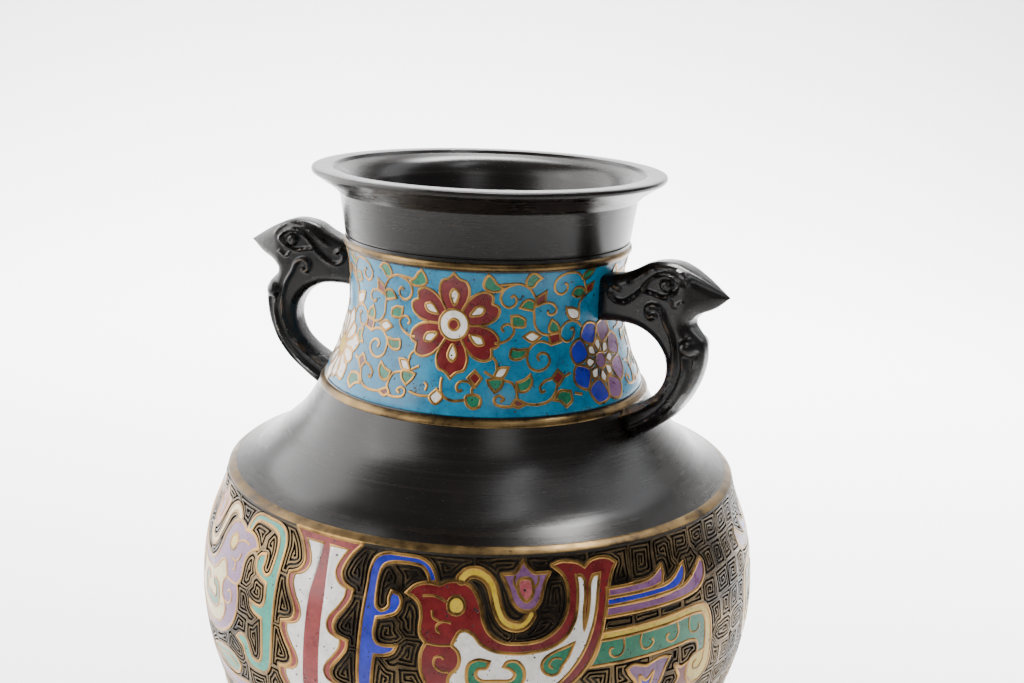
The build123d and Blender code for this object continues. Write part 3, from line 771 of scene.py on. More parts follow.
SIDE_LEAF = [
    (113.5, 141.6, 1), (116.1, 143.2), (119.3, 142.8), (119.2, 147), (121.4, 150.6),
    (118.5, 151.4), (114, 149.4), (115.5, 146.4), (114.5, 144),
]
LOW_LEAF = [
    (33.4, 153.6), (36, 151.2), (42, 151.0), (49, 152.6), (56, 155.6, 1), (49, 157.4),
    (42, 158.2), (36, 157.2),
]
LOW_TAIL_PATH = [
    (30, 160.5), (36, 161.6), (46, 162.2), (58, 160.8), (70, 157.4), (82, 152.4), (90, 147.6),
    (94.4, 152), (99, 158), (106, 162.6), (114, 163.6), (120, 160.8), (122, 156.6),
]
LOW_TAIL_WIDTH = 4.2
LOW_SCROLL_PATH = [
    (60, 169.4), (70, 167.2), (80, 161.2), (88, 158), (93, 162), (98, 167.4), (107, 169.8),
    (120, 169.6), (130, 166.6), (134, 161.4), (131.6, 157.6),
]
LOW_SCROLL_WIDTH = 2.8

# fine walls that run across a field, without closing one off
FINE_LINES = [
    [(33.6, 113.6), (37.5, 113.5), (41.2, 114.9)],
    [(36.7, 117.2), (37.3, 119.2), (39, 120.2)],
    [(42.5, 120.3), (40, 120.2), (38.5, 121.3), (38.5, 122.8), (39.5, 123.4)],
    [(40.9, 131), (39.9, 130.2), (38.5, 130.6), (38, 132.2), (38.7, 133.8), (40.5, 134.8),
     (42.3, 134.9)],
    [(35.5, 126.6), (38.5, 127), (42.8, 126.8)],
    [(127.4, 141), (126.6, 144.6), (124.6, 146.6), (122.4, 146), (122, 144.2), (123.6, 143.4)],
    [(93.9, 127.8), (94.1, 130.5), (93.1, 132.8), (90.9, 133.3), (89.3, 132), (89.4, 130.5),
     (90.5, 130.3)],
    [(100.3, 128), (99.7, 130.4), (100.8, 132.8), (102.9, 133), (104.5, 131.6), (104.1, 130.3)],
    [(114.3, 128), (114.7, 131), (113.5, 133), (111.3, 133.4), (109.8, 132.2), (109.9, 130.8),
     (110.9, 130.8)],
    [(120.1, 128), (119.5, 130.6), (120.5, 133), (122.5, 133.6), (124.3, 132.6), (124.1, 131.4)],
    [(74.4, 131.4), (72.6, 130.9), (71, 131.8), (70.7, 133.2), (71.8, 134.0)],
    [(61.9, 111.6), (60.6, 109.4), (61.0, 107.4)],
    [(66.2, 111.4), (68.0, 109.6), (68.2, 107.8)],
    [(36, 154.6), (40, 153.4), (46, 154.2), (52, 155.4)],
]


def mirrored(points):
    """The same open outline on the other side of the column, run backwards."""
    return [(-p[0], *p[1:]) for p in reversed(points)]


def from_lip(line):
    """Turns depths below the lip into heights."""
    return np.stack([line[:, 0], HEIGHT - line[:, 1]], 1)


def column_outline():
    return from_lip(curve(COLUMN_SIDE + mirrored(COLUMN_SIDE), closed=True))


def column_slot():
    """One of the two light slots, parallel to the column's scalloped side."""
    side = curve(COLUMN_SIDE, closed=False)
    side = side[(side[:, 1] > SLOT_TOP) & (side[:, 1] < SLOT_FOOT)]
    outer = np.stack([side[:, 0] - SLOT_MARGIN, side[:, 1]], 1)
    ends = [(SLOT_INNER, SLOT_FOOT), (SLOT_INNER, SLOT_TOP)]
    return from_lip(np.vstack([outer, ends]))


def belly_fields():
    """Every enamel field of the right-hand unit: name, outline, level, colours right and left."""
    plume = stroke(PLUME_PATH, PLUME_WIDTH, 0.8)
    low_tail = stroke(LOW_TAIL_PATH, LOW_TAIL_WIDTH, 0.9)
    low_scroll = stroke(LOW_SCROLL_PATH, LOW_SCROLL_WIDTH, 0.9)
    fields = [
        ("hook", curve(HOOK), 0, "blue", "teal"),
        ("bird", curve(BIRD), 0, "red", "mauve"),
        ("bird_body", curve(BODY_AND_TAIL), 1, "white", "ivory"),
        ("body_leaf", curve(BODY_LEAF), 2, "green", "blue"),
        ("body_curl", curve(BODY_CURL), 2, "green", "green"),
        ("bird_eye", circle(EYE, 2.4), 2, "yellow", "yellow"),
        ("plume", plume, 1, "yellow", "ivory"),
        ("tulip", curve(TULIP), 0, "mauve", "pink"),
        ("tulip_heart", curve(TULIP_HEART), 1, "pink", "mauve"),
        ("feather_upper", curve(UPPER_FEATHER), 0, "mauve", "mauve"),
        ("feather_middle", curve(MIDDLE_FEATHER), 0, "blue", "blue"),
        ("feather_lower", curve(LOWER_FEATHER), 0, "mauve", "mauve"),
        ("scroll_bar", curve(SCROLL_BAR), 0, "green", "green"),
        ("scroll_edge", curve(SCROLL_EDGE), 0, "yellow", "yellow"),
        ("leaf", curve(LEAF), 0, "mauve", "mauve"),
        ("leaf_heart", curve(LEAF_HEART), 1, "blue", "blue"),
        ("side_leaf", curve(SIDE_LEAF), 0, "red", "pink"),
        ("low_leaf", curve(LOW_LEAF), 0, "green", "green"),
        ("low_tail", low_tail, 0, "pink", "mauve"),
        ("low_scroll", low_scroll, 0, "teal", "yellow"),
    ]
    return [(name, from_lip(outline), *rest) for name, outline, *rest in fields]


# the CAD node that each kind of field stands for, on the right and on the left
FIELD_NODES = {
    "hook": ("hook_enamel_blue", "hook_enamel_teal"),
    "bird": ("bird_enamel_red", "bird_enamel_mauve"),
    "plume": ("plume_enamel_yellow", "plume_enamel_ivory"),
    "tulip": ("tulip_enamel", "tulip_enamel"),
    "feather_middle": ("feather_enamel", "feather_enamel"),
    "scroll_bar": ("scroll_bar_enamel", "scroll_bar_enamel"),
    "leaf": ("leaf_enamel", "leaf_enamel"),
}
UNITS = [(FRONT_ANGLE + turn, side) for turn in (0, 180) for side in (1, -1)]
POCKET_FOOT = POCKET_FLOOR - 0.05
WALL_FOOT = POCKET_FLOOR - 0.1


def add_field(mesh, surface, outline, level, angle, mirror):
    add_slab(mesh, surface, outline, ENAMEL_TOP + level * ENAMEL_STEP, POCKET_FOOT, angle, mirror)


def build_belly():
    fields = belly_fields()
    slot = column_slot()
    column = column_outline()
    every_wall = {angle: Mesh() for angle, _ in UNITS}
    meshes = {}
    nodes = {}
    for angle, side in UNITS:
        walls = every_wall[angle]
        for name, outline, level, right, left in fields:
            colour = right if side > 0 else left
            key = f"{name}_{colour}"
            mesh = meshes.setdefault(key, (Mesh(), colour))[0]
            add_field(mesh, belly_surface, outline, level, angle, side)
            add_ribbon(walls, belly_surface, outline, True, CELL_WALL, WALL_TOP, WALL_FOOT, angle, side)
            if name in FIELD_NODES:
                nodes.setdefault(key, set()).add(FIELD_NODES[name][0 if side > 0 else 1])
        for line in FINE_LINES:
            path = from_lip(curve(line, closed=False, step=0.35))
            add_ribbon(walls, belly_surface, path, False, FINE_WALL, WALL_TOP - 0.02, WALL_FOOT, angle, side)
        mesh = meshes.setdefault("column_slots_white", (Mesh(), "white"))[0]
        add_field(mesh, belly_surface, slot, 1, angle, side)
        add_ribbon(walls, belly_surface, slot, True, FINE_WALL, WALL_TOP, WALL_FOOT, angle, side)
        if side > 0:
            mesh = meshes.setdefault("column_red", (Mesh(), "salmon"))[0]
            add_field(mesh, belly_surface, column, 0, angle, side)
            add_ribbon(walls, belly_surface, column, True, CELL_WALL, WALL_TOP, WALL_FOOT, angle, side)
    nodes["column_red"] = {"column_enamel"}
    for key, (mesh, colour) in meshes.items():
        mesh.piece(key, ENAMELS[colour], slot_of(colour), sorted(nodes.get(key, ())))
    for angle, walls in every_wall.items():
        place = "front" if angle == FRONT_ANGLE else "back"
        walls.piece(f"belly_cell_walls_{place}", WALL_GOLD, "brass")
    return fields, column


# ---- the fret ground of the belly ---------------------------------------------------------------
FRET_PIXEL = 0.15
UNIT_LENGTH = math.pi * MAP_RADIUS / 2
FRET_CELL = (9.0, 8.0)


def distance_to(target, reach):
    """Distance of each pixel to the nearest target pixel, in pixels, right up to the reach."""
    rows, columns = target.shape
    far = 4 * reach
    gap = np.full(columns, far, float)
    down = np.empty(target.shape)
    for i in range(rows):
        gap = np.where(target[i], 0, gap + 1)
        down[i] = gap
    gap = np.full(columns, far, float)
    for i in range(rows - 1, -1, -1):
        gap = np.where(target[i], 0, gap + 1)
        down[i] = np.minimum(down[i], gap)
    square = np.minimum(down, far) ** 2
    best = square.copy()
    for k in range(1, reach + 1):
        best[:, k:] = np.minimum(best[:, k:], square[:, :-k] + k * k)
        best[:, :-k] = np.minimum(best[:, :-k], square[:, k:] + k * k)
    return np.sqrt(best)


def shifted(grid, di, dj, fill):
    out = np.full_like(grid, fill)
    rows, columns = grid.shape
    i0, i1 = max(0, di), rows + min(0, di)
    j0, j1 = max(0, dj), columns + min(0, dj)
    out[i0:i1, j0:j1] = grid[i0 - di : i1 - di, j0 - dj : j1 - dj]
    return out


NEAR = [(0, 1), (0, -1), (1, 0), (-1, 0), (1, 1), (1, -1), (-1, 1), (-1, -1)]


def grow_cells(mask, seeds):
    """Labels the mask by growing all seeds at one pace, never across a motif."""
    labels = np.zeros(mask.shape, int)
    for number, (i, j) in enumerate(seeds, 1):
        labels[i, j] = number
    while True:
        grown = labels.copy()
        for di, dj in NEAR:
            near = shifted(labels, di, dj, 0)
            grown = np.where((grown == 0) & mask, near, grown)
        if (grown == labels).all():
            return labels
        labels = grown


def cell_centres(labels, count):
    """The pixel of each cell that lies nearest to the cell's middle, and the cell's area."""
    i, j = np.nonzero(labels)
    tag = labels[i, j]
    area = np.bincount(tag, minlength=count + 1)
    safe = np.maximum(area, 1)
    mid_i = np.bincount(tag, i, count + 1) / safe
    mid_j = np.bincount(tag, j, count + 1) / safe
    off = (i - mid_i[tag]) ** 2 + (j - mid_j[tag]) ** 2
    order = np.lexsort((off, tag))
    first = np.unique(tag[order], return_index=True)[1]
    chosen = order[first]
    return [(i[k], j[k]) for k in chosen], area[tag[chosen]]


def fret_cells(mask, x, z):
    """Splits the ground into cells of about one spiral each."""
    seeds = []
    rows = int((z[0] - z[-1]) / FRET_CELL[1])
    for row in range(rows + 1):
        level = z[0] - 4.2 - row * FRET_CELL[1]
        offset = 0.5 * (row % 2) * FRET_CELL[0]
        for step in range(int(x[-1] / FRET_CELL[0]) + 1):
            i = int(round((z[0] - level) / FRET_PIXEL))
            j = int(round((4.4 + offset + step * FRET_CELL[0]) / FRET_PIXEL))
            if i < mask.shape[0] and j < mask.shape[1] and mask[i, j]:
                seeds.append((i, j))
    smallest = 14 / FRET_PIXEL**2
    for _ in range(4):
        labels = grow_cells(mask, seeds)
        while True:
            rest = mask & (labels == 0)
            if not rest.any():
                break
            i, j = np.argwhere(rest)[0]
            patch = grow_cells(rest, [(i, j)])
            if patch.sum() < smallest / 5:
                mask = mask & (patch == 0)
            else:
                seeds.append((i, j))
                labels = np.where(patch > 0, len(seeds), labels)
        centres, areas = cell_centres(labels, len(seeds))
        kept = [c for c, a in zip(centres, areas) if a > smallest]
        lonely = [c for c, a in zip(centres, areas) if a <= smallest and a > smallest / 3]
        seeds = kept
    return grow_cells(mask, kept + lonely), len(kept) + len(lonely), mask


def fret_field(mask, x, z):
    """A field that is positive on the raised lines of the fret."""
    labels, count, mask = fret_cells(mask, x, z)
    border = np.zeros(mask.shape, bool)
    seam = np.zeros(mask.shape, bool)
    for di, dj in NEAR[:4]:
        near = shifted(labels, di, dj, 0)
        border |= (labels > 0) & (near != labels)
        seam |= (labels > 0) & (near > 0) & (near != labels)
    reach = int(7 / FRET_PIXEL)
    depth = (distance_to(border, reach) + 0.5) * FRET_PIXEL
    seam_gap = (distance_to(seam, reach) + 0.5) * FRET_PIXEL
    turn = np.zeros(mask.shape)
    for number in range(1, count + 1):
        i, j = np.nonzero(labels == number)
        if len(i) < 4:
            continue
        peak = np.argmax(depth[i, j])
        dx, dz = x[j] - x[j[peak]], z[i] - z[i[peak]]
        spread = np.cov(np.stack([x[j], z[i]]))
        values, axes = np.linalg.eigh(spread)
        across = (dx * axes[0, 0] + dz * axes[1, 0]) / math.sqrt(values[0] + 1e-6)
        along = (dx * axes[0, 1] + dz * axes[1, 1]) / math.sqrt(values[1] + 1e-6)
        hand = 1 if number % 2 else -1
        turn[i, j] = (hand * np.arctan2(across, along) / (2 * math.pi) + 0.125 * (number % 8)) % 1
    wave = np.cos(2 * math.pi * (depth / FRET_PITCH - turn))
    ridge = wave - math.cos(math.pi * FRET_LINE / FRET_PITCH)
    frame_line = (FRET_LINE / 2 - seam_gap) * (2 * math.pi / FRET_PITCH)
    return np.where(mask, np.maximum(ridge, frame_line), -1.0)


CROSSINGS = {
    1: "LT", 2: "TR", 3: "LR", 4: "RB", 5: "LTRB", 6: "TB", 7: "LB", 8: "BL", 9: "BT",
    10: "TRBL", 11: "BR", 12: "RL", 13: "RT", 14: "TL",
}


def contour_loops(field):
    """Closed outlines round the positive parts of a field, as (column, row) positions."""
    field = np.pad(field, 1, constant_values=-1.0)
    rows, columns = field.shape
    on = field > 0
    case = (
        on[:-1, :-1] * 1 + on[:-1, 1:] * 2 + on[1:, 1:] * 4 + on[1:, :-1] * 8
    )
    edge = {
        "T": lambda i, j: 2 * (i * columns + j),
        "B": lambda i, j: 2 * ((i + 1) * columns + j),
        "L": lambda i, j: 2 * (i * columns + j) + 1,
        "R": lambda i, j: 2 * (i * columns + j + 1) + 1,
    }
    following = {}
    for number, path in CROSSINGS.items():
        i, j = np.nonzero(case == number)
        for k in range(0, len(path), 2):
            starts, ends = edge[path[k]](i, j), edge[path[k + 1]](i, j)
            following.update(zip(starts.tolist(), ends.tolist()))
    loops = []
    while following:
        start, here = following.popitem()
        keys = [start]
        while here != start:
            keys.append(here)
            here = following.pop(here)
        keys = np.array(keys)
        upright = keys % 2
        i, j = (keys // 2) // columns, (keys // 2) % columns
        a = field[i, j]
        b = field[np.minimum(i + upright, rows - 1), np.minimum(j + 1 - upright, columns - 1)]
        f = a / (a - b)
        loops.append(np.stack([j + f * (1 - upright) - 1, i + f * upright - 1], 1))
    return loops


def thinned(loop, tolerance, longest):
    """Drops the points of a loop that its neighbours already stand for."""
    for _ in range(5):
        for parity in (0, 1):
            if len(loop) < 8:
                return loop
            before, after = np.roll(loop, 1, 0), np.roll(loop, -1, 0)
            chord = after - before
            length = np.linalg.norm(chord, axis=1) + 1e-9
            off = np.abs(chord[:, 0] * (loop - before)[:, 1] - chord[:, 1] * (loop - before)[:, 0])
            drop = (off / length < tolerance) & (length < longest)
            drop &= np.arange(len(loop)) % 2 == parity
            drop[-1] = False
            loop = loop[~drop]
    return loop


def filled(loops):
    """Triangles that fill the loops, with the holes left open."""
    starts = np.cumsum([0] + [len(loop) for loop in loops])
    edges = []
    for first, loop in zip(starts, loops):
        n = len(loop)
        edges += [(int(first + k), int(first + (k + 1) % n)) for k in range(n)]
    coords = [Vector(p) for p in np.vstack(loops).tolist()]
    made = geometry.delaunay_2d_cdt(coords, edges, [], 0, 1e-6)
    verts, out_edges, tris, _, sources, _ = made
    walls = {tuple(sorted(e)) for e, source in zip(out_edges, sources) if source}
    by_edge = {}
    for number, tri in enumerate(tris):
        for a, b in zip(tri, (tri[1], tri[2], tri[0])):
            by_edge.setdefault((a, b) if a < b else (b, a), []).append(number)
    solid = [None] * len(tris)
    stack = []
    for key, owners in by_edge.items():
        if len(owners) == 1 and solid[owners[0]] is None:
            solid[owners[0]] = key in walls
            stack.append(owners[0])
    while stack:
        number = stack.pop()
        tri = tris[number]
        for a, b in zip(tri, (tri[1], tri[2], tri[0])):
            key = (a, b) if a < b else (b, a)
            for other in by_edge[key]:
                if solid[other] is None:
                    solid[other] = solid[number] != (key in walls)
                    stack.append(other)
    kept = [tuple(t) for t, s in zip(tris, solid) if s]
    return np.array([(v.x, v.y) for v in verts]), kept


def build_fret(fields, column):
    """The fret lines of one unit, cut as a flat net and laid on all four units."""
    low, high = BELLY_BAND[0] + 0.2, BELLY_BAND[1] + 0.1
    x = np.arange(0, UNIT_LENGTH, FRET_PIXEL)
    z = np.arange(high, low, -FRET_PIXEL)
    motif = np.zeros((len(z), len(x)), bool)
    for outline in [column, *[f[1] for f in fields]]:
        left, foot = outline.min(0)
        right, top = outline.max(0)
        i = np.flatnonzero((z >= foot) & (z <= top))
        j = np.flatnonzero((x >= left) & (x <= right))
        grid = np.stack(np.meshgrid(x[j], z[i]), -1).reshape(-1, 2)
        motif[np.ix_(i, j)] |= inside(grid, outline).reshape(len(i), len(j))
    mask = distance_to(motif, 8) * FRET_PIXEL > CELL_WALL / 2 - 0.1
    loops = []
    for loop in contour_loops(fret_field(mask, x, z)):
        for _ in range(2):
            loop = (np.roll(loop, 1, 0) + 2 * loop + np.roll(loop, -1, 0)) / 4
        loop = thinned(loop, 0.15, 8.0)
        if len(loop) > 5:
            loops.append(np.stack([x[0] + loop[:, 0] * FRET_PIXEL, z[0] - loop[:, 1] * FRET_PIXEL], 1))
    flat, tris = filled(loops)
    faces = two_sided(tris, border_edges(tris), len(flat))
    for number, (angle, side) in enumerate(UNITS):
        mesh = Mesh()
        rows = [belly_surface.place(flat, h, angle, side) for h in (FRET_TOP, POCKET_FOOT)]
        mesh.add(np.vstack(rows), faces)
        mesh.piece(f"belly_fret_{number + 1}", FRET_METAL, "cast_bronze")


# ---- the neck's drawing -------------------------------------------------------------------------
# (distance along the girth from a red blossom, depth below the lip), as on the belly
RED_CENTRE = (0.0, 43.2)
# a petal's rim as (angle, distance) from the blossom's centre
PETAL_POINTED = [
    (-30, 8.4, 1), (-25, 11.6), (-16, 14.2), (-7, 14.6), (0, 16.3, 1), (7, 14.6), (16, 14.2), (25, 11.6),
]
PETAL_NOTCHED = [
    (-30, 8.4, 1), (-25, 11.8), (-17, 14.6), (-8, 15.6), (0, 14.2, 1), (8, 15.6), (17, 14.6), (25, 11.8),
]
BLUE_CENTRE = (1.4, 56.6)
WHITE_CENTRE = (0.0, 58.0)
NECK_WALL = 0.85

NECK_LEAVES = {
    "green": [
        [(9.6, 28.7), (10.7, 26.9, 1), (12.2, 28), (13.4, 29.7), (15.4, 31, 1), (14.6, 32),
         (11.6, 32.2), (9.4, 30.8)],
        [(22.8, 29.6), (23, 28), (24, 26.7), (25.6, 26.5), (27.8, 28.1, 1), (26.4, 29.2),
         (25.4, 30.8, 1), (23.6, 30.9)],
        [(21.2, 37.3, 1), (22.4, 35.6), (24.4, 34.9), (26, 35.8), (25.8, 38.4, 1), (23.6, 38)],
        [(18.4, 40, 1), (20.8, 39.9), (23, 41, 1), (23, 43.2), (20.8, 43.5), (19, 43)],
        [(18.2, 52.6), (18.8, 50.2), (20.7, 50.5), (23.8, 50.3, 1), (23, 52.2), (21, 53.3),
         (19.2, 53.3)],
        [(11.2, 59.5, 1), (13.2, 59), (15.8, 59.3), (15.4, 61.4), (13.5, 63, 1), (11.8, 61)],
        [(5.2, 64.4), (7.7, 63.8), (9.4, 64.8), (9.1, 67), (7.2, 67.7), (5.6, 66.6)],
        [(20.2, 61.9), (20, 60.2, 1), (22.4, 59.5), (24.4, 58, 1), (24.8, 60.2), (23, 62.6),
         (20.8, 62.8)],
        [(31, 65.9, 1), (33.4, 63.5), (37, 63.9, 1), (36.9, 66.4), (34.7, 68.2, 1), (32.8, 66.3)],
        [(31.4, 43.8), (32.4, 41.6, 1), (34.8, 43.4), (35.5, 45.3, 1), (33.2, 45.9), (31.6, 45.2)],
        [(35.6, 54, 1), (37.2, 52.6), (37.4, 50, 1), (39.8, 50.7), (40, 53), (38.2, 54.3)],
        [(43.4, 29.2), (44.2, 27.5), (46.2, 26.6), (48.4, 26.7, 1), (47.2, 28.6), (45.2, 29.7)],
        [(40, 34.2, 1), (41, 32.4), (43.8, 32.2), (45.3, 33.4), (44, 35.2), (41.6, 35.1)],
    ],
    "red": [
        [(30, 32.4, 1), (26.5, 34.4, 1), (26.6, 37, 1), (29.8, 35.9, 1)],
        [(31.4, 46.3, 1), (35.3, 45.9, 1), (35.8, 48.8, 1), (32, 49.5, 1)],
        [(7.4, 56.8, 1), (9.5, 59, 1), (7.8, 61.4, 1), (5.4, 59, 1)],
        [(19.6, 64.8, 1), (22.4, 66.3, 1), (19.8, 67.3), (18.4, 66.2, 1)],
        [(33.6, 57.2, 1), (35.7, 59.4, 1), (33.3, 61.8, 1), (31.4, 59.4, 1)],
        [(45.8, 32.4, 1), (49.4, 31.1, 1), (48.7, 33.6), (46.4, 34.2, 1)],
    ],
    "white": [
        [(22.6, 46.6, 1), (25.4, 45.2), (28.4, 46.7, 1), (25.6, 48.3)],
        [(17.6, 55.7, 1), (14.8, 55.9), (13, 58.6, 1), (15.8, 58.6)],
        [(-3.6, 63, 1), (-1.6, 65), (-3.4, 67.2), (-5.4, 65.4)],
        [(37.8, 38.3, 1), (41, 38.7), (43.2, 40.2), (43, 42.3, 1), (40.2, 42.2), (38.5, 40.6)],
    ],
}
NECK_VINES = [
    [(14.4, 30.2), (18, 29.8), (21.2, 29.9), (24.2, 31.4), (25.8, 33.4), (26.6, 34.6)],
    [(19.4, 29.8), (16, 31.4), (14.8, 34), (15.7, 36.3), (17.7, 37.3), (19.5, 36.3), (20, 34.6),
     (19, 33.5), (18.1, 34.2)],
    [(24.4, 30.8), (24.6, 31.7)],
    [(25.8, 38.2), (26.1, 40), (26.4, 43), (28.2, 45.4), (30.6, 46.3), (31.6, 46.4)],
    [(26.6, 37.2), (28.6, 36.4), (31, 36.1), (33.2, 37), (34, 38.6), (33, 39.9), (31.3, 39.9),
     (30.8, 38.9)],
    [(35.6, 46.4), (36.2, 44.5), (38.6, 42.8), (41.6, 42.9), (44.2, 44.6), (45.2, 47), (44.8, 50),
     (43.4, 52.4)],
    [(35.7, 47.4), (37.7, 49), (40, 48.6), (41.2, 46.7), (40.6, 45), (39.7, 45.5)],
    [(32, 49.5), (30.4, 48.6), (27.2, 48.3), (24.4, 50.4), (23.6, 53), (24.4, 55.8), (26.7, 57),
     (29.4, 56.4), (31.1, 54.4), (30.6, 52.5), (28.6, 51.7), (27, 52.8), (27.6, 54)],
    [(13.2, 48.5), (15.7, 48.2), (18.2, 46.8), (19.5, 44.6), (18.6, 42.9), (16.6, 42.6),
     (15.4, 43.8), (16.2, 44.9)],
    [(12.2, 52.2), (13.8, 54), (14.1, 56.4)],
    [(7.8, 61.4), (6.8, 62.2), (7, 63.8)],
    [(7.2, 61.6), (5.6, 60.2), (3.4, 60.2), (2.2, 61.6), (2.8, 63), (4, 62.6)],
    [(-2.4, 59.4), (-2.6, 61.6), (-1.8, 64.4), (1.2, 65.8), (5.3, 65.3)],
    [(-5.4, 65.2), (-9, 65.3), (-12, 64.6)],
    [(15.8, 59.4), (18.7, 60.4), (19.8, 62.6), (19.9, 65)],
    [(19.4, 66.7), (16.2, 67), (13.6, 66.2), (13.4, 64.6), (14.8, 63.9), (16, 64.9), (15, 65.6)],
    [(22.4, 66.4), (26.2, 66.7), (29.6, 65.8), (32, 63.5), (32.9, 61.4)],
    [(31.4, 59.6), (29, 60.2), (27.2, 61.8), (27.4, 63.3), (28.6, 62.9)],
    [(35.7, 59.4), (38.8, 58.4), (41, 58)],
    [(43.2, 28.8), (41.2, 27.3), (37.7, 26.9), (34.2, 28), (32.8, 30), (33.2, 32.4), (35.4, 33.8),
     (37.6, 32.6), (37.6, 30.8), (36.4, 30.2)],
    [(43.2, 40), (43.2, 37.5), (45, 35.6), (47, 34.3)],
    [(44.4, 29.4), (45, 31), (45.9, 32.4)],
    [(10.2, 56.9), (12.8, 58.5)],
]


def around(centre, polar_points):
    """Outline points from (angle, distance) round a centre; depths grow downwards."""
    out = []
    for a, r, *corner in polar_points:
        t = math.radians(a)
        out.append((centre[0] + r * math.cos(t), centre[1] - r * math.sin(t), *corner))
    return out


def petal_at(centre, angle, near, far, width):
    """A drop-shaped petal that points away from a centre."""
    middle, length = (near + far) / 2, far - near
    waist = math.degrees(width / 2 / middle) * 0.8
    bulge = math.degrees(width / 2 / (middle + 0.25 * length))
    low, high = middle - 0.15 * length, middle + 0.22 * length
    shape = [
        (angle, near), (angle + waist, low), (angle + bulge, high), (angle, far),
        (angle - bulge, high), (angle - waist, low),
    ]
    return around(centre, shape)


def disc(centre, radius, count):
    return around(centre, [(360 / count * k, radius) for k in range(count)])


def red_blossom():
    """(colour, outline, level) of the fields, and open gold lines."""
    shape = []
    for k in range(6):
        petal = PETAL_POINTED if k % 3 == 0 else PETAL_NOTCHED
        shape += [(90 + 60 * k + a, r, *corner) for a, r, *corner in petal]
    fields = [("red", around(RED_CENTRE, shape), 0)]
    for k in range(6):
        fields.append(("white", petal_at(RED_CENTRE, 90 + 60 * k, 6.2, 11.2, 2.7), 1))
    fields.append(("white", disc(RED_CENTRE, 4.8, 12), 1))
    fields.append(("red", disc(RED_CENTRE, 1.8, 8), 2))
    lines = [around(RED_CENTRE, [(60 + 60 * k, 4.9), (60 + 60 * k, 8.4)]) for k in range(6)]
    return fields, lines


def blue_blossom():
    fields = []
    for k in range(8):
        angle = 22.5 + 45 * k
        colour = "blue" if 100 < angle < 260 else "mauve"
        fields.append((colour, petal_at(BLUE_CENTRE, angle, 6.0, 13.4, 8.2), 0))
    for k in range(8):
        fields.append(("white", petal_at(BLUE_CENTRE, 45 * k, 2.9, 6.8, 3.1), 1))
    fields.append(("mauve", disc(BLUE_CENTRE, 2.6, 8), 1))
    return fields, []


def white_blossom():
    fields = []
    for k in range(12):
        tip = 13.0 - 2.4 * (k % 2)
        fields.append(("white", petal_at(WHITE_CENTRE, 15 + 30 * k, 3.4, tip, 5.4), 0))
    fields.append(("yellow", disc(WHITE_CENTRE, 3.2, 8), 1))
    return fields, []


BLOSSOMS = (red_blossom, blue_blossom, white_blossom)
BLOSSOM_DISCS = ((RED_CENTRE, 14.2), (BLUE_CENTRE, 13.6), (WHITE_CENTRE, 12.6))
BLOSSOM_STEP = math.pi * NECK_MAP_RADIUS / 3      # from one blossom to the next, along the girth
OVERLAP = 5.5
LEAF_SHARE = 0.8             # a leaf is kept when this much of its outline is clear of the blossoms


def outside_discs(points, discs):
    p = np.array([point[:2] for point in points], float)
    free = np.ones(len(p), bool)
    for centre, radius in discs:
        free &= np.hypot(p[:, 0] - centre[0], p[:, 1] - centre[1]) > radius
    return free


def reaches_over(points, side):
    """Whether a mirrored leaf or vine would lie over the ones on the other side of its blossom."""
    return side < 0 and min(point[0] for point in points) < OVERLAP


def longest_run(free):
    """The longest stretch of points that are all free."""
    best, start = (0, 0), None
    for k, ok in enumerate([*free, False]):
        if ok and start is None:
            start = k
        if not ok and start is not None:
            best = max(best, (k - start, start))
            start = None
    return slice(best[1], best[1] + best[0])


class Inlay:
    """Enamel meshes by colour, and one mesh of cell walls, for a band of decoration."""

    def __init__(self, surface, prefix):
        self.surface = surface
        self.prefix = prefix
        self.walls = Mesh()
        self.colours = {}

    def field(self, key, colour, outline, level, angle, side, wall):
        mesh = self.colours.setdefault(key, (Mesh(), colour))[0]
        top = ENAMEL_TOP + level * ENAMEL_STEP
        add_slab(mesh, self.surface, outline, top, POCKET_FOOT, angle, side, INLAY_SPACING)
        add_ribbon(self.walls, self.surface, outline, True, wall, WALL_TOP, POCKET_FOOT, angle, side)

    def line(self, path, angle, side, wall):
        add_ribbon(self.walls, self.surface, path, False, wall, WALL_TOP - 0.02, POCKET_FOOT, angle, side)

    def finish(self, nodes=()):
        nodes = dict(nodes)
        for key, (mesh, colour) in self.colours.items():
            mesh.piece(f"{self.prefix}_{key}", ENAMELS[colour], slot_of(colour), nodes.get(key, ()))
        self.walls.piece(f"{self.prefix}_cell_walls", WALL_GOLD, "brass")


def enamel_ring(name, points, top, bottom, band, node):
    """The ground enamel of a band: a thin shell in the sunk part of its wall."""
    outer = spline_profile(outer_points(points, top, bottom), 0.8)
    outer = outer[(outer[:, 1] > band[0]) & (outer[:, 1] < band[1])]
    ends = [[np.interp(z, outer[::-1, 1], outer[::-1, 0]), z] for z in band]
    outer = np.vstack([[ends[1]], outer, [ends[0]]])
    front = outer + [GROUND_TOP, 0]
    back = outer + [POCKET_FOOT, 0]
    lathe_piece(name, np.vstack([front[::-1], back]), ENAMELS["turquoise"], "turquoise_enamel", [node])


def blossom_discs(kind, side):
    """The blossoms on both sides of a set of vines, as (centre, radius) in the set's own drawing."""
    near = BLOSSOM_DISCS[0 if side < 0 else kind]
    other = BLOSSOM_DISCS[2 if side < 0 else (kind + 1) % 3]
    before = BLOSSOM_DISCS[1 if side < 0 else (kind + 2) % 3]
    far = ((BLOSSOM_STEP + side * other[0][0], other[0][1]), other[1])
    last = ((side * before[0][0] - BLOSSOM_STEP, before[0][1]), before[1])
    return near, far, last


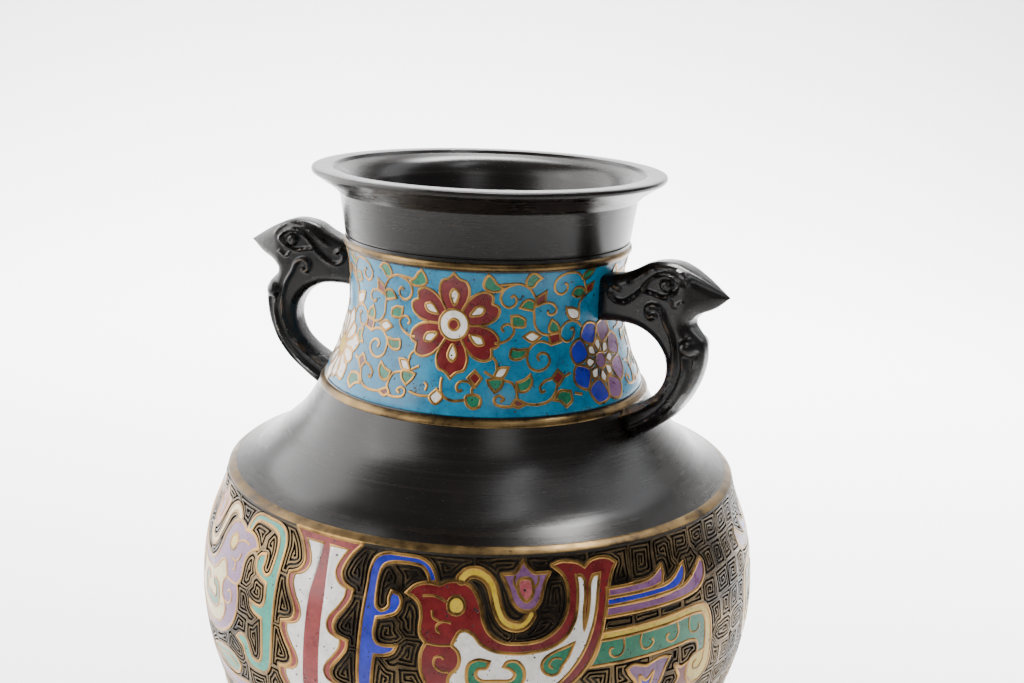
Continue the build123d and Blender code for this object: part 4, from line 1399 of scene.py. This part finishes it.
def add_blossom(inlay, kind, angle):
    fields, lines = BLOSSOMS[kind]()
    for colour, points, level in fields:
        outline = from_lip(curve(points, step=0.5))
        inlay.field(f"blossom{kind}_{colour}", colour, outline, level, angle, 1, NECK_WALL)
    for points in lines:
        inlay.line(from_lip(curve(points, closed=False, step=0.5)), angle, 1, NECK_WALL)


def add_vines(inlay, discs, angle, side):
    """The leaves, buds and vines between two blossoms."""
    for colour, leaves in NECK_LEAVES.items():
        for leaf in leaves:
            if reaches_over(leaf, side) or outside_discs(leaf, discs).mean() <= LEAF_SHARE:
                continue
            outline = from_lip(curve(leaf, step=0.4))
            inlay.field(f"leaves_{colour}", colour, outline, 0, angle, side, NECK_WALL)
    for vine in NECK_VINES:
        if reaches_over(vine, side):
            continue
        path = curve(vine, closed=False, step=0.4)
        path = path[longest_run(outside_discs(path, discs))]
        if len(path) > 4:
            inlay.line(from_lip(path), angle, side, NECK_WALL)


def build_neck():
    enamel_ring("neck_ground", NECK, "neck_top_bead", "neck_bottom_bead", NECK_BAND, "neck_enamel_ground")
    inlay = Inlay(neck_surface, "neck")
    for index in range(6):
        kind = index % 3
        side = -1 if kind == 2 else 1
        angle = BLOSSOM_ANGLE + 60 * index
        add_blossom(inlay, kind, angle)
        if side < 0:
            angle += 60
        add_vines(inlay, blossom_discs(kind, side), angle, side)
    inlay.finish({
        "blossom0_red": ["neck_blossoms_red"], "blossom1_blue": ["neck_blossoms_blue"],
        "blossom2_white": ["neck_blossoms_white"],
    })


# ---- the two lower enamel bands -------------------------------------------------------------------
def scroll_unit(length, low, high):
    """One repeat of a scroll: a waving stem, volutes, leaves and a small blossom."""
    middle, rise = (low + high) / 2, (high - low) / 2
    f = np.linspace(0, 1, 25)
    stem = np.stack([length * f, middle + 0.34 * rise * np.sin(2 * math.pi * f)], 1)
    lines = [stem]
    leaves = []
    size = 0.46 * rise
    for k, (at, hand) in enumerate(((0.25, 1), (0.75, -1))):
        eye = (length * at, middle - hand * 0.36 * rise)
        lines.append(spiral(eye, size, 1.3, 90 * hand + 180, -hand, 0.2))
        for shift in (-1, 1):
            root = np.array([length * (at + 0.155 * shift), middle + hand * 0.42 * rise])
            tip = root + [shift * 0.30 * rise, hand * 0.32 * rise]
            side = np.array([0.16 * rise, 0])
            middle_of_leaf = (root + tip) / 2
            outline = [(*root, 1), tuple(middle_of_leaf + side), (*tip, 1), tuple(middle_of_leaf - side)]
            leaves.append(("green", outline))
        x, z = length * at, middle + hand * 0.70 * rise
        tall, wide = 0.2 * rise, 0.22 * rise
        bud = [(x, z + tall, 1), (x + wide, z), (x, z - tall, 1), (x - wide, z)]
        leaves.append(("red" if k else "white", bud))
    return lines, leaves


ROSETTE_RADIUS = 2.9


def rosette(centre, radius):
    """A round flower with six lobes."""
    t = np.linspace(0, 2 * math.pi, 37)[:-1]
    r = radius * (1 + 0.16 * np.cos(6 * t))
    return np.stack([centre[0] + r * np.cos(t), centre[1] + r * np.sin(t)], 1)


def build_band(name, points, top, bottom, band, surface, node, repeats):
    enamel_ring(f"{name}_ground", points, top, bottom, band, node)
    inlay = Inlay(surface, name)
    length = 2 * math.pi * surface.map_radius / repeats
    lines, leaves = scroll_unit(length, band[0] + 0.5, band[1] - 0.5)
    centre = (0.0, (band[0] + band[1]) / 2)
    for index in range(repeats):
        angle = 360 * index / repeats + FRONT_ANGLE
        for path in lines:
            inlay.line(path, angle, 1, NECK_WALL)
        for colour, outline in leaves:
            inlay.field(colour, colour, curve(outline, step=0.5), 0, angle, 1, NECK_WALL)
        inlay.field("red", "red", rosette(centre, ROSETTE_RADIUS), 0, angle, 1, NECK_WALL)
        inlay.field("yellow", "yellow", circle(centre, 1.0, 12), 1, angle, 1, FINE_WALL)
    inlay.finish()


# ---- handles: a bird's head and a grooved tail, in (distance from the axis, height) ------------------
HANDLE_OUTLINE = [
    (45, 275.4, 1), (52, 276.5), (57.8, 278.9), (62.5, 281.5), (67.5, 282.5), (72, 282.3),
    (78, 279.9), (84.4, 276.4), (89.1, 273.4, 1), (84.6, 269.6), (79.6, 267.0), (77.4, 264.8, 1),
    (77.6, 263.0), (81.6, 258.6), (82.5, 254.4), (82.0, 249.6), (80.6, 245.2), (77.4, 238.9),
    (72.4, 232.4), (67.0, 228.0), (61.2, 223.9, 1), (57.5, 225.5, 1), (53, 231.4, 1),
    (58.2, 233.7), (63.6, 236.8), (68.2, 241.2), (70.3, 246.8), (69.6, 252.4), (66.0, 257.2),
    (60.2, 260.3), (53, 261.0), (45, 260.2, 1),
]
HANDLE_HALF = 6.5
HANDLE_ROUND = 3.6
HANDLE_RINGS = (0.1, 0.35, 0.75, 1.3, 2.0, 2.8)
HANDLE_GRID = 0.5
BEAK = (76.0, 89.1, 0.80)      # where the beak starts, its tip, how much thinner the tip is
HEAD_EYE = (70.1, 275.6)
PUPIL_RADIUS = 0.9
PUPIL_DEPTH = 0.5
BALL = (78.4, 256.8)
DOMES = ((HEAD_EYE, 2.2, 1.5), (BALL, 2.9, 2.1))      # (centre, radius, height)
RELIEF_GAIN = 1.35
RELIEF_MARGIN = 1.2          # the relief fades out this close to the outline
FACE_SET_BACK = 0.6
THINNEST = 0.25
# (path, closed, width, height over the face)
HANDLE_RELIEF = [
    ([(62.2, 273.4), (65.6, 277.6), (69.4, 279.2), (73, 278.2), (75.2, 275.9), (72.6, 273.2),
      (69.4, 271.9), (65.6, 272.6)], True, 1.7, 1.1),
    ([(62.2, 273.4), (58.8, 270.4), (55.4, 268.4), (52, 268.8), (50.4, 271), (51.6, 273), (53.6, 272.4)],
     False, 2.0, 1.0),
    ([(77.4, 277.2), (74.4, 280), (69.6, 281), (64.8, 279.8), (60.6, 277), (57, 274.6)], False, 1.5, 0.6),
    ([(66.4, 265.4), (65, 264.8), (63.9, 266.2), (64.6, 268.2), (66.8, 268.7), (69, 267.2),
      (70.2, 264.4), (72.6, 260.4), (74, 255.6), (74.2, 250), (73, 244.6), (70, 239.6), (65.6, 235.8),
      (60.4, 232.6), (55, 230)], False, 2.3, 1.1),
    ([(77, 254.4), (77.4, 249.4), (76, 243.8), (72.6, 237.8), (67.8, 232.6), (62.4, 228.8), (58, 226.6)],
     False, 2.2, 0.9),
    ([(80.4, 253.6), (80.2, 249.2), (78.6, 244.2), (75.2, 237.8), (70.2, 231.6), (64.6, 227.2), (60, 224.4)],
     False, 2.0, 0.8),
    ([(89.1, 273.4), (85.2, 273.6), (81.6, 272.4), (79.2, 270.2), (78.2, 268)], False, 1.1, -0.9),
    ([(75.6, 271), (73, 269.4), (71.4, 271)], False, 1.3, 0.6),
]


def path_distance(points, path, closed):
    """How far points are from a drawn line."""
    start = path if closed else path[:-1]
    end = np.roll(path, -1, 0) if closed else path[1:]
    best = np.full(len(points), np.inf)
    for a, b in zip(start, end):
        ab = b - a
        t = np.clip(((points - a) @ ab) / max(ab @ ab, 1e-12), 0, 1)
        best = np.minimum(best, np.linalg.norm(points - a - t[:, None] * ab, axis=1))
    return best


def handle_points(outline):
    """The outline, rings that follow it inwards, and a grid between."""
    ahead = np.roll(outline, -1, 0) - np.roll(outline, 1, 0)
    ahead /= np.linalg.norm(ahead, axis=1)[:, None]
    inward = np.stack([ahead[:, 1], -ahead[:, 0]], 1)
    kept = [outline]
    for ring in HANDLE_RINGS:
        points = outline + inward * ring
        points = points[inside(points, outline)]
        kept.append(points[path_distance(points, outline, True) > 0.93 * ring])
    low, high = outline.min(0), outline.max(0)
    axes = [np.arange(low[k] + HANDLE_GRID, high[k], HANDLE_GRID) for k in (0, 1)]
    grid = np.stack(np.meshgrid(*axes), -1).reshape(-1, 2)
    grid = grid[inside(grid, outline)]
    kept.append(grid[path_distance(grid, outline, True) > HANDLE_RINGS[-1] + 0.3 * HANDLE_GRID])
    return np.vstack(kept)


def handle_height(points, outline):
    """Half the handle's thickness at each point of its side view."""
    gap = path_distance(points, outline, True)
    roll = np.clip(gap / HANDLE_ROUND, 0, 1)
    height = HANDLE_HALF - HANDLE_ROUND * (1 - np.sqrt(1 - (1 - roll) ** 2))
    start, tip, thinner = BEAK
    height *= 1 - thinner * np.clip((points[:, 0] - start) / (tip - start), 0, 1) ** 1.2
    fade = np.clip(gap / RELIEF_MARGIN, 0, 1)
    relief = np.zeros(len(points))
    for path, closed, width, rise in HANDLE_RELIEF:
        line = curve(path, closed, 0.5)
        wave = 0.5 + 0.5 * np.cos(math.pi * np.clip(path_distance(points, line, closed) / (width / 2), 0, 1))
        relief = np.where(abs(rise * wave) > abs(relief), rise * wave, relief)
    for centre, radius, rise in DOMES:
        far = np.linalg.norm(points - centre, axis=1) / radius
        relief = np.maximum(relief, rise * np.sqrt(np.clip(1 - far**2, 0, 1)))
    pupil = np.linalg.norm(points - HEAD_EYE, axis=1)
    relief -= PUPIL_DEPTH * (0.5 + 0.5 * np.cos(math.pi * np.clip(pupil / PUPIL_RADIUS, 0, 1)))
    return np.maximum(height + RELIEF_GAIN * relief * fade - FACE_SET_BACK, THINNEST)


def build_handle(name, angle, node):
    outline = curve(HANDLE_OUTLINE, step=0.5)
    flat, tris = net_over(handle_points(outline), len(outline), 1e-4)
    half = handle_height(flat, outline)
    a = math.radians(angle)
    out, across = np.array([math.sin(a), -math.cos(a)]), np.array([math.cos(a), math.sin(a)])
    sides = []
    for sign in (1, -1):
        plan = flat[:, :1] * out + sign * half[:, None] * across
        sides.append(np.column_stack([plan, flat[:, 1]]))
    mesh = Mesh()
    mesh.add(np.vstack(sides) * MM, two_sided(tris, border_edges(tris), len(flat)))
    mesh.piece(name, CAST, "cast_bronze", [node], 80)


# ---- stage, light and camera --------------------------------------------------------------------
FOCAL_PIXELS = 1368.0        # the photographic view: focal length for an image 1024 pixels wide
IMAGE_WIDTH = 1024
SENSOR = 36.0
CAMERA_DISTANCE = 0.4565
CAMERA_HEIGHT = 0.3613
CAMERA_PITCH = 14.24
CAMERA_YAW = 1.163
CAMERA_ROLL = 2.0


def build_camera():
    data = bpy.data.cameras.new("camera")
    data.sensor_width = SENSOR
    data.lens = FOCAL_PIXELS * SENSOR / IMAGE_WIDTH
    data.dof.use_dof = False
    camera = bpy.data.objects.new("camera", data)
    bpy.context.scene.collection.objects.link(camera)
    yaw, pitch, roll = (math.radians(v) for v in (CAMERA_YAW, CAMERA_PITCH, CAMERA_ROLL))
    ahead = Vector((math.sin(yaw) * math.cos(pitch), math.cos(yaw) * math.cos(pitch), -math.sin(pitch)))
    right = Vector((math.cos(yaw), -math.sin(yaw), 0))
    up = right.cross(ahead)
    level = right * math.cos(roll) + up * math.sin(roll)
    upright = up * math.cos(roll) - right * math.sin(roll)
    turn = Matrix((level, upright, -ahead)).transposed().to_4x4()
    turn.translation = (0, -CAMERA_DISTANCE, CAMERA_HEIGHT)
    camera.matrix_world = Matrix.Rotation(math.radians(VIEW_ANGLE), 4, "Z") @ turn
    bpy.context.scene.camera = camera


def stage_material():
    s = Shader("paper_sweep", 0.9, 0.0)
    tone = s.noise(3, 2)
    colour = s.mix(tone, (0.80, 0.80, 0.80), (0.84, 0.84, 0.835))
    return s.finish(colour)


def build_stage():
    """A pale seamless sweep: a floor that curves up into a wall behind the vase."""
    back, radius, half, top = 1.5, 0.5, 3.0, 2.6
    line = [(-2.2, 0.0), (back - radius, 0.0)]
    for k in range(1, 17):
        a = math.radians(90 * k / 16)
        line.append((back - radius + radius * math.sin(a), radius - radius * math.cos(a)))
    line.append((back, top))
    verts = [(side * half, y, z) for y, z in line for side in (-1, 1)]
    faces = [(2 * k, 2 * k + 1, 2 * k + 3, 2 * k + 2) for k in range(len(line) - 1)]
    mesh = bpy.data.meshes.new("sweep")
    mesh.from_pydata(verts, [], faces)
    mesh.polygons.foreach_set("use_smooth", [True] * len(faces))
    mesh.materials.append(stage_material())
    sweep = bpy.data.objects.new("sweep", mesh)
    sweep.matrix_world = Matrix.Rotation(math.radians(VIEW_ANGLE), 4, "Z")
    bpy.context.scene.collection.objects.link(sweep)


# name: (place as seen from the camera: right, towards the back, up), size, power, colour
LIGHTS = {
    "window_left": ((-1.15, 0.35, 0.62), (1.3, 1.5), 40.0, (1.0, 1.0, 1.0)),
    "window_front": ((-1.15, -0.55, 0.75), (0.7, 1.2), 16.0, (1.0, 1.0, 1.0)),
    "window_right": ((0.98, 0.26, 1.05), (0.6, 0.8), 5.0, (0.95, 0.97, 1.0)),
    "front_fill": ((0.35, -1.35, 1.25), (0.5, 0.5), 2.5, (1.0, 1.0, 1.0)),
    "high_strip": ((0.29, -0.375, 1.32), (0.13, 0.5), 2.0, (0.93, 0.96, 1.0)),
    "backdrop_light": ((0.0, 1.05, 2.2), (2.6, 0.6), 110.0, (1.0, 1.0, 1.0)),
}
LIGHT_AIM = Vector((0, 0, 0.2))
BACKDROP_SPREAD = 70.0       # kept narrow, so that it lights the sweep and not the vase


def build_lights():
    turn = Matrix.Rotation(math.radians(VIEW_ANGLE), 4, "Z")
    for name, (place, size, power, colour) in LIGHTS.items():
        data = bpy.data.lights.new(name, "AREA")
        data.shape = "RECTANGLE"
        data.size, data.size_y = size
        data.energy = power
        data.color = colour
        if name == "backdrop_light":
            data.spread = math.radians(BACKDROP_SPREAD)
        light = bpy.data.objects.new(name, data)
        at = turn @ Vector(place)
        aim = at - Vector((0, 0, 1)) if name == "backdrop_light" else LIGHT_AIM
        light.rotation_mode = "QUATERNION"
        light.rotation_quaternion = (at - aim).to_track_quat("Z", "Y")
        light.location = at
        bpy.context.scene.collection.objects.link(light)
    world = bpy.data.worlds.new("studio")
    world.use_nodes = True
    shade = world.node_tree.nodes["Background"]
    shade.inputs["Color"].default_value = (0.93, 0.95, 1.0, 1)
    shade.inputs["Strength"].default_value = 0.26
    bpy.context.scene.world = world


# ---- the whole vase -----------------------------------------------------------------------------
build_turned_sections()
belly_drawing, front_column = build_belly()
build_fret(belly_drawing, front_column)
build_neck()
build_band("lower", LOWER_BAND, "belly_bottom_bead", "lower_band_bead", LOWER_BAND_RANGE,
           lower_surface, "lower_band_enamel", 14)
build_band("foot", FOOT_BAND, "foot_top_bead", "foot_rim_bead", FOOT_BAND_RANGE,
           foot_surface, "foot_enamel", 9)
build_handle("bird_handle_right", HANDLE_ANGLE, "handle_right")
build_handle("bird_handle_left", -HANDLE_ANGLE, "handle_left")
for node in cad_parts.values():
    node.data.materials.clear()
    node.data.materials.append(CAST if node.name.startswith("handle") else ENAMELS["turquoise"])

build_stage()
build_lights()
build_camera()
